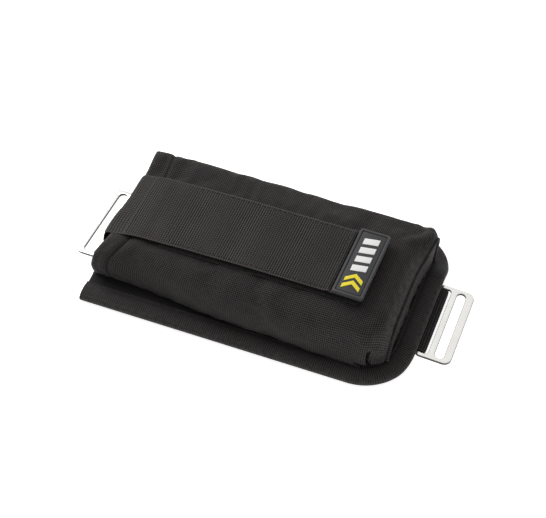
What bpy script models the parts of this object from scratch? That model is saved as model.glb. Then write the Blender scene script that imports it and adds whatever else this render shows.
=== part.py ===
"""A diver's weight pocket for a 50 mm webbing belt.

A padded base panel carries a stuffed pouch that is open at its left end. A webbing strap comes up
over the mouth and closes on top with hook and loop, and a steel three-bar slide hangs in a webbing
loop at each end. X runs along the belt, Y is up the diver's body, and Z points away from the body. The
origin is halfway between the slides' outer ends, on the surface that the base's bound edges rest on.
"""

import math

import bmesh
import bpy
from mathutils import Matrix, Vector

MM = 0.001
GAP = 0.25 * MM  # between pieces that are sewn or pressed together

# Base panel
BASE_LENGTH = 207 * MM
BASE_WIDTH = 122 * MM
FRONT_CORNER = 33 * MM
BACK_CORNER = 27 * MM
LINING = 0.5 * MM
FOAM = 2.2 * MM
BINDING_LEG = 12.5 * MM
BINDING = 0.7 * MM
BOW_MARGIN = 1.5 * MM  # flat stretch on each side of the webbing before the panel bows down
BOW_FOOT = 2.5 * MM  # flat stretch inside the binding

# Webbing and its loops
WEB_WIDTH = 50 * MM
WEB = 1.3 * MM
WEB_CLEAR = 0.3 * MM  # under the loops
WEB_END_MARGIN = 1 * MM  # from the slide's inner edge to the strip's end
TAIL_LENGTH = 15 * MM
LOOP_SLACK = 0.4 * MM

# Three-bar slides
PLATE = 1.8 * MM
SLIDE_RAIL = 2.5 * MM  # beyond each end of the slots
SLIDE_CORNER = 5 * MM
SLOT_SPARE = 1 * MM  # slot length beyond the webbing's width
INNER_BAR = 5 * MM
INNER_SLOT = 4.2 * MM
MIDDLE_BAR = 4 * MM
OUTER_SLOT = 5.7 * MM
OUTER_BAR = 5 * MM
BAR_TUCK = 3 * MM  # how far the plate reaches in under the base
LEFT_TUCK_MORE = 3.0 * MM  # the left loop is pulled in a little further
SLIDE_TILT = math.radians(4)  # the slides droop to the surface
HINGE_OUT = 0.2 * MM  # beyond the panel's edge
HINGE_UP = 0.3 * MM  # above the strip
LOOP_LAP = 1.7 * MM  # of the loop's lower end over the inner bar

# Pouch
CLOTH = 0.9 * MM
POUCH_BACK_MARGIN = 15.5 * MM  # base edge to the back wall
POUCH_FRONT_MARGIN = 16.8 * MM  # base edge to the front bulge, at the middle
FRONT_FLARE = 0.03  # the bulge widens to the right
POUCH_END_MARGIN = 11.5 * MM
BACK_LEAN = 1 * MM  # the back wall's foot stands in
MOUTH_MARGIN = 8.8 * MM  # base's left edge to the mouth's upper lip
MOUTH_LEAN = 4 * MM  # the lower lip stands out further
MOUTH_ROUND = 2.5 * MM
BACK_HEIGHT = 34 * MM
BACK_CORNER_ROUND = 4 * MM
BULGE_HEIGHT = 14 * MM
SEAM_TUCK = 3.2 * MM
LOW_TUCK = 0.8 * MM  # halfway between the front seam and the bulge
SEAT_RAMP = 8 * MM
CROWN = (34.7 * MM, 0.04, -0.2)  # height over the middle, its slope along X, and its curve
END_ROUND = 7 * MM
END_INSET = 0.6  # how much of the end's roll also draws the walls in
HEM = 14 * MM
PIPING = 1.0 * MM

# Closing strap
HOOK = 1.2 * MM
LOOP = 0.9 * MM
STRAP_TIP = 69 * MM
STRAP_SPLIT = -15 * MM
BEND_RADIUS = 3.4 * MM
PATCH_START = -60 * MM
PATCH_RAMP = 14 * MM
PATCH_END_MARGIN = 3 * MM
ANCHOR_LENGTH = 14 * MM
ANCHOR_MARGIN = 0.6 * MM
FOLD_GAP = 0.3 * MM

# Pull tab
TAB_LENGTH = 19.5 * MM
TAB = 2.4 * MM
TAB_CORNER = 1.5 * MM
TAB_BEVEL = 0.5 * MM
TAB_RIM = 1.8 * MM
TAB_RECESS = 0.6 * MM
TAB_STEP = 0.3 * MM  # width of the slope down to the recess
TAB_OVERHANG = 0.6 * MM

# Lead weights
WEIGHT_LENGTH = 45.5 * MM
WEIGHT_WIDTH = 72 * MM
WEIGHT_HEIGHT = 16 * MM
WEIGHT_ROUND = 3.5 * MM
WEIGHTS = 3
WEIGHT_SPACE = 0.5 * MM
WEIGHT_END_SPACE = 1.5 * MM
WEIGHT_BACK_SPACE = 4 * MM

# Levels, from the surface up
LOOP_LOW = WEB_CLEAR
PLATE_LOW = LOOP_LOW + WEB + GAP
STRIP_LOW = PLATE_LOW + PLATE + GAP
BINDING_LOW = STRIP_LOW + WEB + GAP
PANEL_LOW = BINDING_LOW + BINDING + GAP
FOAM_LOW = PANEL_LOW + LINING + GAP
TOP_LINING_LOW = FOAM_LOW + FOAM + GAP
PANEL_TOP = TOP_LINING_LOW + LINING
DROOP = BINDING_LOW  # brings the bound edges down to the surface

HALF_LENGTH = BASE_LENGTH / 2
HALF_WIDTH = BASE_WIDTH / 2
HALF_WEB = WEB_WIDTH / 2
BOW_START = HALF_WEB + BOW_MARGIN
BOW_END = HALF_WIDTH - BINDING_LEG - BOW_FOOT
BACK_Y = HALF_WIDTH - POUCH_BACK_MARGIN
END_X = HALF_LENGTH - POUCH_END_MARGIN
MOUTH_X = -HALF_LENGTH + MOUTH_MARGIN
BOW_SLOPE = DROOP / (BOW_END - BOW_START)
SEAT_GAP = GAP + CLOTH * BOW_SLOPE  # so that the wall's inner side clears the bowed panel too
SLIDE_WIDTH = INNER_BAR + INNER_SLOT + MIDDLE_BAR + OUTER_SLOT + OUTER_BAR
SLIDE_LENGTH = WEB_WIDTH + SLOT_SPARE + 2 * SLIDE_RAIL
MIDDLE_SHIFT = -LEFT_TUCK_MORE * math.cos(SLIDE_TILT) / 2

BLACK_CLOTH = ((0.020, 0.019, 0.019), 0.85, 0.0)
BLACK_WEBBING = ((0.028, 0.027, 0.027), 0.75, 0.0)
BLACK_TAPE = ((0.024, 0.023, 0.023), 0.7, 0.0)
GREY_FOAM = ((0.08, 0.08, 0.085), 0.95, 0.0)
HOOK_AND_LOOP = ((0.012, 0.012, 0.012), 0.95, 0.0)
STEEL = ((0.72, 0.71, 0.69), 0.25, 1.0)
RUBBER = ((0.05, 0.05, 0.052), 0.55, 0.0)
LEAD = ((0.13, 0.13, 0.14), 0.5, 0.6)


def clear_scene():
    for obj in list(bpy.data.objects):
        bpy.data.objects.remove(obj, do_unlink=True)


def collection_named(name):
    made = bpy.data.collections.new(name)
    bpy.context.scene.collection.children.link(made)
    return made


def material_for(look):
    color, roughness, metallic = look
    name = "look_%d_%d_%d" % (color[0] * 1000, roughness * 100, metallic * 100)
    made = bpy.data.materials.get(name) or bpy.data.materials.new(name)
    made.use_nodes = True
    shader = made.node_tree.nodes["Principled BSDF"]
    shader.inputs["Base Color"].default_value = (*color, 1)
    shader.inputs["Roughness"].default_value = roughness
    shader.inputs["Metallic"].default_value = metallic
    return made


def add_part(name, mesh, look):
    part = bpy.data.objects.new(name, mesh)
    mesh.materials.clear()
    mesh.materials.append(material_for(look))
    PARTS.objects.link(part)
    return part


def solidify(part, thickness, offset):
    shell = part.modifiers.new("thickness", "SOLIDIFY")
    shell.thickness = thickness
    shell.offset = offset
    shell.use_even_offset = True
    return shell


def evaluated_mesh(obj):
    bpy.context.view_layer.update()
    graph = bpy.context.evaluated_depsgraph_get()
    return bpy.data.meshes.new_from_object(obj.evaluated_get(graph))


def remade(obj, name, look, change):
    """Replaces obj by a mesh of what it evaluates to, after change(bm) has worked on it."""
    mesh = evaluated_mesh(obj)
    place = obj.matrix_world.copy()
    bpy.data.objects.remove(obj, do_unlink=True)
    bm = bmesh.new()
    bm.from_mesh(mesh)
    bmesh.ops.remove_doubles(bm, verts=bm.verts, dist=1e-6)
    change(bm)
    bm.to_mesh(mesh)
    bm.free()
    made = add_part(name, mesh, look)
    made.matrix_world = place
    return made


def arc(center, radius, start, end, steps):
    """Points of an arc in a plane, angles in degrees."""
    points = []
    for i in range(steps + 1):
        angle = math.radians(start + (end - start) * i / steps)
        points.append((center[0] + radius * math.cos(angle), center[1] + radius * math.sin(angle)))
    return points


def outline_object(name, outlines, thickness):
    """A flat solid centred on z = 0: the first outline, with the others cut out of it."""
    curve = bpy.data.curves.new(name, "CURVE")
    curve.dimensions = "2D"
    curve.fill_mode = "BOTH"
    curve.extrude = thickness / 2
    for points in outlines:
        spline = curve.splines.new("POLY")
        spline.points.add(len(points) - 1)
        for point, (x, y) in zip(spline.points, points):
            point.co = (x, y, 0, 1)
        spline.use_cyclic_u = True
    made = bpy.data.objects.new(name, curve)
    PARTS.objects.link(made)
    return made


def bow(y):
    """How far the base hangs down at y: level over the webbing, down to the surface at its edges."""
    share = (abs(y) - BOW_START) / (BOW_END - BOW_START)
    return -DROOP * min(max(share, 0), 1)


def panel_top(y):
    return PANEL_TOP + bow(y)


def bend_base(bm):
    """Cuts a flat base piece along the bow's lines and bends it."""
    for y in (-BOW_END, -BOW_START, BOW_START, BOW_END):
        everything = bm.verts[:] + bm.edges[:] + bm.faces[:]
        bmesh.ops.bisect_plane(bm, geom=everything, plane_co=(0, y, 0), plane_no=(0, 1, 0), dist=1e-7)
    bmesh.ops.triangulate(bm, faces=bm.faces)
    for vert in bm.verts:
        vert.co.z += bow(vert.co.y)


def base_outline(inset):
    """The base's edge from its front left corner round to its back left one, open on the left."""
    right = HALF_LENGTH - inset
    side = HALF_WIDTH - inset
    front = FRONT_CORNER - inset
    back = BACK_CORNER - inset
    points = [(-HALF_LENGTH, -side)]
    points += arc((right - front, -side + front), front, -90, 0, 8)
    points += arc((right - back, side - back), back, 0, 90, 8)
    points.append((-HALF_LENGTH, side))
    return points


def base_layer(name, low, thickness, look):
    flat = outline_object(name, [base_outline(BINDING + GAP)], thickness)
    flat.location.z = low + thickness / 2
    return remade(flat, name, look, bend_base)


def make_base():
    base_layer("base_back_panel", PANEL_LOW, LINING, BLACK_CLOTH)
    base_layer("base_foam", FOAM_LOW, FOAM, GREY_FOAM)
    base_layer("base_top_panel", TOP_LINING_LOW, LINING, BLACK_CLOTH)
    make_binding()


def sheet_from_rows(name, rows):
    """An open surface through rows of points, each row as long as the others."""
    bm = bmesh.new()
    grid = [[bm.verts.new(point) for point in row] for row in rows]
    for one, other in zip(grid, grid[1:]):
        for i in range(len(one) - 1):
            bm.faces.new((one[i], one[i + 1], other[i + 1], other[i]))
    bm.normal_update()
    mesh = bpy.data.meshes.new(name)
    bm.to_mesh(mesh)
    bm.free()
    return mesh


def make_binding():
    """Tape folded round the front, right and back edges."""
    inner = base_outline(BINDING_LEG)
    wall = base_outline(BINDING / 2)
    low = BINDING_LOW + BINDING / 2
    high = PANEL_TOP + GAP + BINDING / 2
    rows = []
    for (x, y), (leg_x, leg_y) in zip(wall, inner):
        rows.append([(leg_x, leg_y, low), (x, y, low), (x, y, high), (leg_x, leg_y, high)])
    flat = bpy.data.objects.new("binding", sheet_from_rows("binding", rows))
    PARTS.objects.link(flat)
    solidify(flat, BINDING, 0)
    return remade(flat, "edge_binding", BLACK_TAPE, bend_base)


def seat(x, y):
    """Height of the pouch's lower edge: on the panel, and up on the tape round the right end."""
    start = HALF_LENGTH - FRONT_CORNER
    return panel_top(y) + SEAT_GAP + (BINDING + GAP) * smooth((x - start) / SEAT_RAMP)


def crown(x):
    """Height of the pouch's top under the strap."""
    height, slope, curve = CROWN
    return height + slope * x + curve * x * x


def end_roll(x):
    """How far the rounding at the closed end, or at the mouth's lip, brings the top down at x."""
    radius = END_ROUND if x > 0 else MOUTH_ROUND
    start = END_X - END_ROUND if x > 0 else -(MOUTH_X + MOUTH_ROUND)
    past = min(max(abs(x) - start, 0), radius)
    return radius - math.sqrt(radius**2 - past**2)


def smooth(share):
    share = min(max(share, 0), 1)
    return share * share * (3 - 2 * share)


def pouch_section(x):
    """Outer points (y, z) of the pouch at x, from its front seam over the top to its back seam."""
    top = crown(x)
    front = -(HALF_WIDTH - POUCH_FRONT_MARGIN) - FRONT_FLARE * x
    seam = front + SEAM_TUCK
    flat = HALF_WEB + BOW_MARGIN
    points = [(seam, seat(x, seam))]
    points.append((front + LOW_TUCK, (BULGE_HEIGHT + seat(x, seam)) / 2))
    for step in range(7):
        angle = math.radians(180 - 15 * step)
        y = -HALF_WEB + (-HALF_WEB - front) * math.cos(angle)
        points.append((y, BULGE_HEIGHT + (top - BULGE_HEIGHT) * math.sin(angle)))
    points += [(y, top) for y in (-HALF_WEB / 2, 0, HALF_WEB / 2, flat)]
    edge = BACK_Y - BACK_CORNER_ROUND
    for share in (0.25, 0.5, 0.75):
        points.append((flat + (edge - flat) * share, top + (BACK_HEIGHT - top) * smooth(share)))
    points += arc((edge, BACK_HEIGHT - BACK_CORNER_ROUND), BACK_CORNER_ROUND, 90, 0, 3)
    points.append((BACK_Y, (BACK_HEIGHT + PANEL_TOP) / 2))
    points.append((BACK_Y - BACK_LEAN, seat(x, BACK_Y - BACK_LEAN)))
    return shrunk(points, x)


def shrunk(points, x):
    """Draws the section in where the end rolls over."""
    roll = end_roll(x)
    keep_z = 1 - roll / (BACK_HEIGHT - PANEL_TOP)
    keep_y = 1 - END_INSET * roll / BACK_Y
    drawn = []
    for y, z in points:
        low = seat(x, y)
        drawn_low = seat(x, y * keep_y)
        drawn.append((y * keep_y, drawn_low + (z - low) * keep_z))
    return drawn


def mouth_lean(z):
    return -MOUTH_LEAN * (BACK_HEIGHT - z) / (BACK_HEIGHT - PANEL_TOP)


def pouch_row(x):
    """The section at x in space, leaning out towards the mouth's lower lip."""
    lean = 1 - smooth((x - MOUTH_X) / (2 * HEM))
    return [(x + lean * mouth_lean(z), y, z) for y, z in pouch_section(x)]


def lip_stations():
    return [MOUTH_X + MOUTH_ROUND * (1 - math.cos(math.radians(a))) for a in (0, 45, 90)]


def pouch_stations():
    straight_end = END_X - END_ROUND
    stations = lip_stations() + [MOUTH_X + HEM, MOUTH_X + 2 * HEM]
    stations += [stations[-1] + (straight_end - stations[-1]) * i / 5 for i in range(1, 6)]
    stations += [straight_end + END_ROUND * math.sin(math.radians(a)) for a in (25, 50, 72, 90)]
    return stations


def make_pouch():
    rows = [pouch_row(x) for x in pouch_stations()]
    shell = add_part("pouch_shell", sheet_from_rows("pouch_shell", rows), BLACK_CLOTH)
    solidify(shell, CLOTH, -1)
    shell.data.flip_normals()
    make_hem()
    make_end_panel()
    make_piping()
    make_loop_patch()


def make_hem():
    """The mouth's facing, folded inside its edge."""
    stations = lip_stations() + [MOUTH_X + HEM / 2, MOUTH_X + HEM]
    mesh = sheet_from_rows("mouth_hem", [pouch_row(x)[1:-1] for x in stations])
    mesh.flip_normals()
    bm = bmesh.new()
    bm.from_mesh(mesh)
    bm.normal_update()
    steps = [(vert, vert.normal * (CLOTH + GAP)) for vert in bm.verts]
    for vert, step in steps:
        vert.co -= step
    bm.to_mesh(mesh)
    bm.free()
    hem = add_part("mouth_hem", mesh, BLACK_CLOTH)
    solidify(hem, CLOTH, -1)


def end_outline():
    """The end wall's outline in (y, z), closed along the panel below it."""
    points = pouch_section(END_X)
    points += [(y, seat(END_X, y)) for y in (BOW_START, -BOW_START)]
    return points


def make_end_panel():
    wall = outline_object("end_wall", [end_outline()], CLOTH)
    turn = Matrix(((0, 0, 1, 0), (1, 0, 0, 0), (0, 1, 0, 0), (0, 0, 0, 1)))
    wall.matrix_world = Matrix.Translation((END_X + GAP + CLOTH / 2, 0, 0)) @ turn
    remade(wall, "pouch_end_panel", BLACK_CLOTH, lambda bm: None)


def make_piping():
    """A bead over the seam where the pouch's wrap meets its end wall."""
    section = pouch_section(END_X)[1:-1]
    middle = Vector((0, (PANEL_TOP + BACK_HEIGHT) / 2))
    route = []
    for i, (y, z) in enumerate(section):
        before = Vector(section[max(i - 1, 0)])
        after = Vector(section[min(i + 1, len(section) - 1)])
        along = (after - before).normalized()
        out = Vector((-along.y, along.x))
        if out.dot(Vector((y, z)) - middle) < 0:
            out.negate()
        away = out * (PIPING + GAP)
        route.append((END_X + GAP + PIPING, y + away.x, z + away.y))
    curve = bpy.data.curves.new("end_piping", "CURVE")
    curve.dimensions = "3D"
    curve.bevel_depth = PIPING
    curve.bevel_resolution = 1
    curve.use_fill_caps = True
    spline = curve.splines.new("POLY")
    spline.points.add(len(route) - 1)
    for point, place in zip(spline.points, route):
        point.co = (*place, 1)
    piping = bpy.data.objects.new("end_piping", curve)
    curve.materials.append(material_for(BLACK_TAPE))
    PARTS.objects.link(piping)


def ribbon(name, path, thickness, look, width=WEB_WIDTH):
    """A band of webbing along a path (x, z) of its middle layer, as wide as the webbing."""
    rows = [[(x, -width / 2, z), (x, width / 2, z)] for x, z in path]
    band = add_part(name, sheet_from_rows(name, rows), look)
    solidify(band, thickness, 0)
    return band


def strap_rise(x):
    """How far the patches lift the strap off the pouch."""
    full = GAP + HOOK + GAP + LOOP
    return full * smooth((x - PATCH_START + PATCH_RAMP) / PATCH_RAMP)


def strap_middle(x):
    return crown(x) + GAP + WEB / 2 + strap_rise(x)


def run(start, end, steps, height):
    """Path points between two X, at the height that a function gives."""
    return [(start + (end - start) * i / steps, height(start + (end - start) * i / steps))
            for i in range(steps + 1)]


def make_loop_patch():
    end = STRAP_TIP - PATCH_END_MARGIN
    path = run(PATCH_START, end, 6, lambda x: crown(x) + GAP + LOOP / 2)
    ribbon("loop_patch", path, LOOP, HOOK_AND_LOOP)


def bend_center():
    """Centre of the strap's top bend, which clears the mouth's upper lip inside it."""
    lip_z = crown(MOUTH_X) - MOUTH_ROUND
    lip_x = MOUTH_X + mouth_lean(lip_z)
    reach = BEND_RADIUS - WEB / 2 - 2 * GAP
    rise = lip_z - (strap_middle(MOUTH_X) - BEND_RADIUS)
    x = lip_x + math.sqrt(reach**2 - rise**2)
    return (x, strap_middle(x) - BEND_RADIUS)


def fold_point():
    """The top bend's pivot: halfway round it, on the strap's outer face."""
    return arc(bend_center(), BEND_RADIUS + WEB / 2, 135, 135, 1)[0]


def riser_foot():
    x = -HALF_LENGTH + ANCHOR_MARGIN + WEB / 2
    return (x, PANEL_TOP + GAP + WEB)


def fold_step():
    """Angle, in degrees, that half a fold's gap takes on the top bend."""
    return math.degrees(FOLD_GAP / 2 / BEND_RADIUS)


def make_strap():
    foot = riser_foot()
    anchor_z = PANEL_TOP + GAP + WEB / 2
    anchor_start = foot[0] - WEB / 2
    ribbon("strap_anchor", [(anchor_start, anchor_z), (anchor_start + ANCHOR_LENGTH, anchor_z)], WEB,
           BLACK_WEBBING)
    bend = arc(bend_center(), BEND_RADIUS, 180, 135 + fold_step(), 3)
    riser = ribbon("strap_riser", [(foot[0], foot[1] + GAP)] + bend, WEB, BLACK_WEBBING)
    bend = arc(bend_center(), BEND_RADIUS, 135 - fold_step(), 90, 3)
    ramp = PATCH_START - PATCH_RAMP
    top = run(bend_center()[0], ramp, 2, strap_middle)
    top += run(ramp, PATCH_START, 4, strap_middle)[1:]
    top += run(PATCH_START, STRAP_SPLIT - FOLD_GAP / 2, 4, strap_middle)[1:]
    inner = ribbon("strap_inner", bend[:-1] + top, WEB, BLACK_WEBBING)
    outer_path = run(STRAP_SPLIT + FOLD_GAP / 2, STRAP_TIP - TAB_OVERHANG, 6, strap_middle)
    outer = ribbon("strap_outer", outer_path, WEB, BLACK_WEBBING)
    hooks = make_hook_patches()
    tab = make_tab()

    riser_pivot = pivot("riser_pivot", (anchor_start, 0, foot[1]))
    fold = fold_point()
    peel_pivot = pivot("peel_pivot", (fold[0], 0, fold[1]), riser_pivot)
    split_z = strap_middle(STRAP_SPLIT) + WEB / 2
    curl_pivot = pivot("curl_pivot", (STRAP_SPLIT, 0, split_z), peel_pivot)
    carry(riser, riser_pivot)
    for part in (inner, hooks[0]):
        carry(part, peel_pivot)
    for part in (outer, hooks[1], tab):
        carry(part, curl_pivot)


def make_hook_patches():
    def height(x):
        return strap_middle(x) - WEB / 2 - GAP - HOOK / 2

    end = STRAP_TIP - PATCH_END_MARGIN
    first = run(PATCH_START, STRAP_SPLIT - FOLD_GAP / 2, 4, height)
    second = run(STRAP_SPLIT + FOLD_GAP / 2, end, 4, height)
    return (ribbon("hook_patch_inner", first, HOOK, HOOK_AND_LOOP),
            ribbon("hook_patch_outer", second, HOOK, HOOK_AND_LOOP))


def upper_face(bm):
    """The largest of the faces that look straight up."""
    bm.normal_update()
    return max((f for f in bm.faces if f.normal.z > 0.99), key=lambda f: f.calc_area())


def make_tab():
    """The moulded pull tab, with a rim round its recessed face."""
    middle = STRAP_TIP - TAB_LENGTH / 2
    bpy.ops.mesh.primitive_cube_add(size=1)
    cube = bpy.context.object
    mesh = cube.data
    bpy.data.objects.remove(cube, do_unlink=True)
    bm = bmesh.new()
    bm.from_mesh(mesh)
    bmesh.ops.scale(bm, verts=bm.verts, vec=(TAB_LENGTH, WEB_WIDTH + 2 * TAB_OVERHANG, TAB))
    upright = [e for e in bm.edges if abs(e.verts[0].co.z - e.verts[1].co.z) > TAB / 2]
    bmesh.ops.bevel(bm, geom=upright, offset=TAB_CORNER, segments=3, affect="EDGES")
    bmesh.ops.bevel(bm, geom=upper_face(bm).edges[:], offset=TAB_BEVEL, segments=1, affect="EDGES")
    bmesh.ops.inset_region(bm, faces=[upper_face(bm)], thickness=TAB_RIM, depth=0)
    floor = upper_face(bm)
    bmesh.ops.inset_region(bm, faces=[floor], thickness=TAB_STEP, depth=0)
    bmesh.ops.translate(bm, verts=floor.verts[:], vec=(0, 0, -TAB_RECESS))
    bmesh.ops.triangulate(bm, faces=bm.faces)
    bm.to_mesh(mesh)
    bm.free()
    tab = add_part("pull_tab", mesh, RUBBER)
    rise = strap_middle(middle + TAB_LENGTH / 2) - strap_middle(middle - TAB_LENGTH / 2)
    tab.rotation_euler.y = -math.atan2(rise, TAB_LENGTH)
    tab.location = (middle, 0, strap_middle(middle) + WEB / 2 + GAP + TAB / 2)
    return tab


def pivot(name, place, parent=None):
    made = bpy.data.objects.new(name, None)
    PARTS.objects.link(made)
    made.location = place
    if parent:
        carry(made, parent)
    return made


def carry(part, holder):
    """Parents part to holder and keeps it where it is."""
    bpy.context.view_layer.update()
    part.parent = holder
    part.matrix_parent_inverse = holder.matrix_world.inverted()


def make_webbing():
    """The strip under the base, and the tails of its two end loops sewn back under it."""
    strip_z = STRIP_LOW + WEB / 2
    tail_z = STRIP_LOW - GAP - WEB / 2
    reach = HALF_LENGTH - BAR_TUCK - WEB_END_MARGIN
    ribbon("back_webbing", [(-reach + LEFT_TUCK_MORE, strip_z), (reach, strip_z)], WEB, BLACK_WEBBING)
    for name, end in (("left_webbing_tail", -reach + LEFT_TUCK_MORE), ("right_webbing_tail", reach)):
        far = end - math.copysign(TAIL_LENGTH, end)
        ribbon(name, [(far, tail_z), (end, tail_z)], WEB, BLACK_WEBBING)


def stadium(low, high, half_length):
    """Outline of a slot from X low to high, with round ends."""
    radius = (high - low) / 2
    middle = (high + low) / 2
    points = arc((middle, half_length - radius), radius, 0, 180, 6)
    points += arc((middle, -half_length + radius), radius, 180, 360, 6)
    return points


def slide_outlines():
    """The plate from X = 0 at its inner edge, and its two slots."""
    half = SLIDE_LENGTH / 2
    corner = SLIDE_CORNER
    plate = []
    for x, y, start in ((SLIDE_WIDTH, half, 0), (0, half, 90), (0, -half, 180), (SLIDE_WIDTH, -half, 270)):
        center = (x + (corner if x == 0 else -corner), y - math.copysign(corner, y))
        plate += arc(center, corner, start, start + 90, 5)
    half_slot = (WEB_WIDTH + SLOT_SPARE) / 2
    first = INNER_BAR
    second = INNER_BAR + INNER_SLOT + MIDDLE_BAR
    return [plate, stadium(first, first + INNER_SLOT, half_slot),
            stadium(second, second + OUTER_SLOT, half_slot)]


def make_end(side, name, tuck):
    """A slide in its webbing loop, at the right end (side 1) or the left end (side -1)."""
    inner_edge = HALF_LENGTH - tuck
    flat = outline_object(name + "_plate", slide_outlines(), PLATE)
    flat.location = (inner_edge, 0, PLATE_LOW + PLATE / 2)
    slide = remade(flat, name + "_slide", STEEL, lambda bm: None)
    high = STRIP_LOW + WEB / 2
    low = LOOP_LOW + WEB / 2
    turn = inner_edge + INNER_BAR + LOOP_SLACK
    path = [(inner_edge - GAP, high)]
    path += arc((turn, (high + low) / 2), (high - low) / 2, 90, -90, 6)
    path.append((inner_edge + LOOP_LAP, low))
    loop = ribbon(name + "_loop", path, WEB, BLACK_WEBBING)
    hinge = pivot(name + "_pivot", (HALF_LENGTH + HINGE_OUT, 0, STRIP_LOW + WEB + HINGE_UP))
    for part in (slide, loop):
        carry(part, hinge)
    hinge.rotation_euler.y = SLIDE_TILT
    if side < 0:
        hinge.location.x = -hinge.location.x
        hinge.rotation_euler.z = math.pi


def make_weights():
    """Lead blocks side by side from the closed end, with the loading bay left free at the mouth."""
    start = END_X - CLOTH - WEIGHT_END_SPACE
    y = BACK_Y - CLOTH - WEIGHT_BACK_SPACE - WEIGHT_WIDTH / 2
    for i in range(WEIGHTS):
        x = start - WEIGHT_LENGTH / 2 - i * (WEIGHT_LENGTH + WEIGHT_SPACE)
        bpy.ops.mesh.primitive_cube_add(size=1)
        cube = bpy.context.object
        mesh = cube.data
        bpy.data.objects.remove(cube, do_unlink=True)
        mesh.transform(Matrix.Diagonal((WEIGHT_LENGTH, WEIGHT_WIDTH, WEIGHT_HEIGHT, 1)))
        block = add_part("lead_weight_%d" % (i + 1), mesh, LEAD)
        block.location = (x, y, PANEL_TOP + GAP + WEIGHT_HEIGHT / 2)
        rounding = block.modifiers.new("rounding", "BEVEL")
        rounding.width = WEIGHT_ROUND
        rounding.segments = 2


def set_origin():
    """Moves everything along X so that the slides' outer ends stand equally far from the origin."""
    middle = pivot("pocket_middle", (0, 0, 0))
    for part in PARTS.objects:
        if part.parent is None and part is not middle:
            carry(part, middle)
    middle.location.x = MIDDLE_SHIFT


clear_scene()
PARTS = collection_named("weight_pocket")
make_base()
make_webbing()
make_pouch()
make_strap()
make_end(1, "right", BAR_TUCK)
make_end(-1, "left", BAR_TUCK + LEFT_TUCK_MORE)
make_weights()
set_origin()
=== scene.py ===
"""A diver's weight pocket: its cloth, webbing, tape, rubber, steel and lead.

Shapes are worked out in the panel's own frame, with X from the middle of the base panel, and
settle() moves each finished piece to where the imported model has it. Lengths are metres, UV maps
millimetres.
"""

from math import atan2, copysign, cos, exp, pi, radians, sin, sqrt

import bmesh
import bpy
import numpy as np
from mathutils import Matrix, Vector, noise


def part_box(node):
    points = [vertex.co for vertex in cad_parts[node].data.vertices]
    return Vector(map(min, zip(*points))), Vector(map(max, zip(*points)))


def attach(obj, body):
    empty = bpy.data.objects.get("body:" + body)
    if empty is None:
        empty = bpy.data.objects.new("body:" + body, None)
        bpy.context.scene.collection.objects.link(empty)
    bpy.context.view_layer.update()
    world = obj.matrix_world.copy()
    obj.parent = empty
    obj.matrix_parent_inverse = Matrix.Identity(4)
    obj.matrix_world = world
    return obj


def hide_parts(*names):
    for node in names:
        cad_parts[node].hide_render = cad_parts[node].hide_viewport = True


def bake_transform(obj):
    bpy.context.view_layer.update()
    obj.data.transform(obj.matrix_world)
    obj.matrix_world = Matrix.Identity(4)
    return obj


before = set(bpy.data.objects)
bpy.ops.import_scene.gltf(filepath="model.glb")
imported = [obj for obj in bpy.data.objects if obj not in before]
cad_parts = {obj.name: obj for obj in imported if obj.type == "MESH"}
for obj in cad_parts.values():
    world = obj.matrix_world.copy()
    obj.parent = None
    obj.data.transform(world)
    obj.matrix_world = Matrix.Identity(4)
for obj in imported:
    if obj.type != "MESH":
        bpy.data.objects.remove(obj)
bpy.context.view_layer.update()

MM = 0.001
GAP = 0.25 * MM

# Base panel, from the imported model
edge_low, edge_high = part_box("edge_binding")
strip_low, strip_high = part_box("back_webbing")
MIDDLE_X = (edge_low.x + edge_high.x) / 2
HALF_LENGTH = (edge_high.x - edge_low.x) / 2
HALF_WIDTH = (edge_high.y - edge_low.y) / 2
PANEL_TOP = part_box("base_top_panel")[1].z
STRIP_LOW = strip_low.z
WEB = strip_high.z - strip_low.z
WEB_WIDTH = strip_high.y - strip_low.y
HALF_WEB = WEB_WIDTH / 2
BINDING_LOW = strip_high.z + GAP
DROOP = BINDING_LOW

FRONT_CORNER = 33 * MM
BACK_CORNER = 27 * MM
BINDING = 0.7 * MM
BINDING_LEG = 12.5 * MM
BINDING_SEAM = 11 * MM  # edge to the stitching through both legs
BOW_START = HALF_WEB + 1.5 * MM
BOW_END = HALF_WIDTH - BINDING_LEG - 2.5 * MM
PANEL_LOW = BINDING_LOW + BINDING + GAP
PAD_PUFF = 0.5 * MM

# Pouch
CLOTH = 0.9 * MM
BACK_Y = HALF_WIDTH - 15.5 * MM
BACK_HEIGHT = 34 * MM
BACK_ROUND = 4 * MM
BACK_LEAN = 1 * MM
BACK_PUFF = 0.8 * MM
FRONT_MARGIN = 16.8 * MM
FRONT_FLARE = 0.03
BULGE_HEIGHT = 14 * MM
SEAM_TUCK = 3.2 * MM
CROWN = (34.7 * MM, 0.04, -0.2)
END_X = HALF_LENGTH - 11.5 * MM
END_ROUND = 7 * MM
END_INSET = 0.6
MOUTH_X = -HALF_LENGTH + 8.8 * MM
MOUTH_LEAN = 4 * MM
MOUTH_ROUND = 2.5 * MM
LIP = 1.25 * MM  # half the thickness of the folded hem
HEM = 12.8 * MM
HEM_PUFF = 0.55 * MM
SEAM_DEPTH = 0.6 * MM
SEAT_RAMP = 8 * MM
PIPING = 1.0 * MM

# Closing strap
RIB = 1.6 * MM
RIB_HEIGHT = 0.17 * MM
HOOK = 1.2 * MM
LOOP = 0.9 * MM
PATCH_START = -60 * MM
PATCH_END = 66 * MM
PATCH_RAMP = 14 * MM
STRAP_TIP = 69 * MM
STRAP_SPLIT = -15 * MM
BEND_RADIUS = 3.4 * MM
FOOT_ROUND = 1.2 * MM
ANCHOR_LENGTH = 14 * MM
ANCHOR_MARGIN = 0.6 * MM

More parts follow.
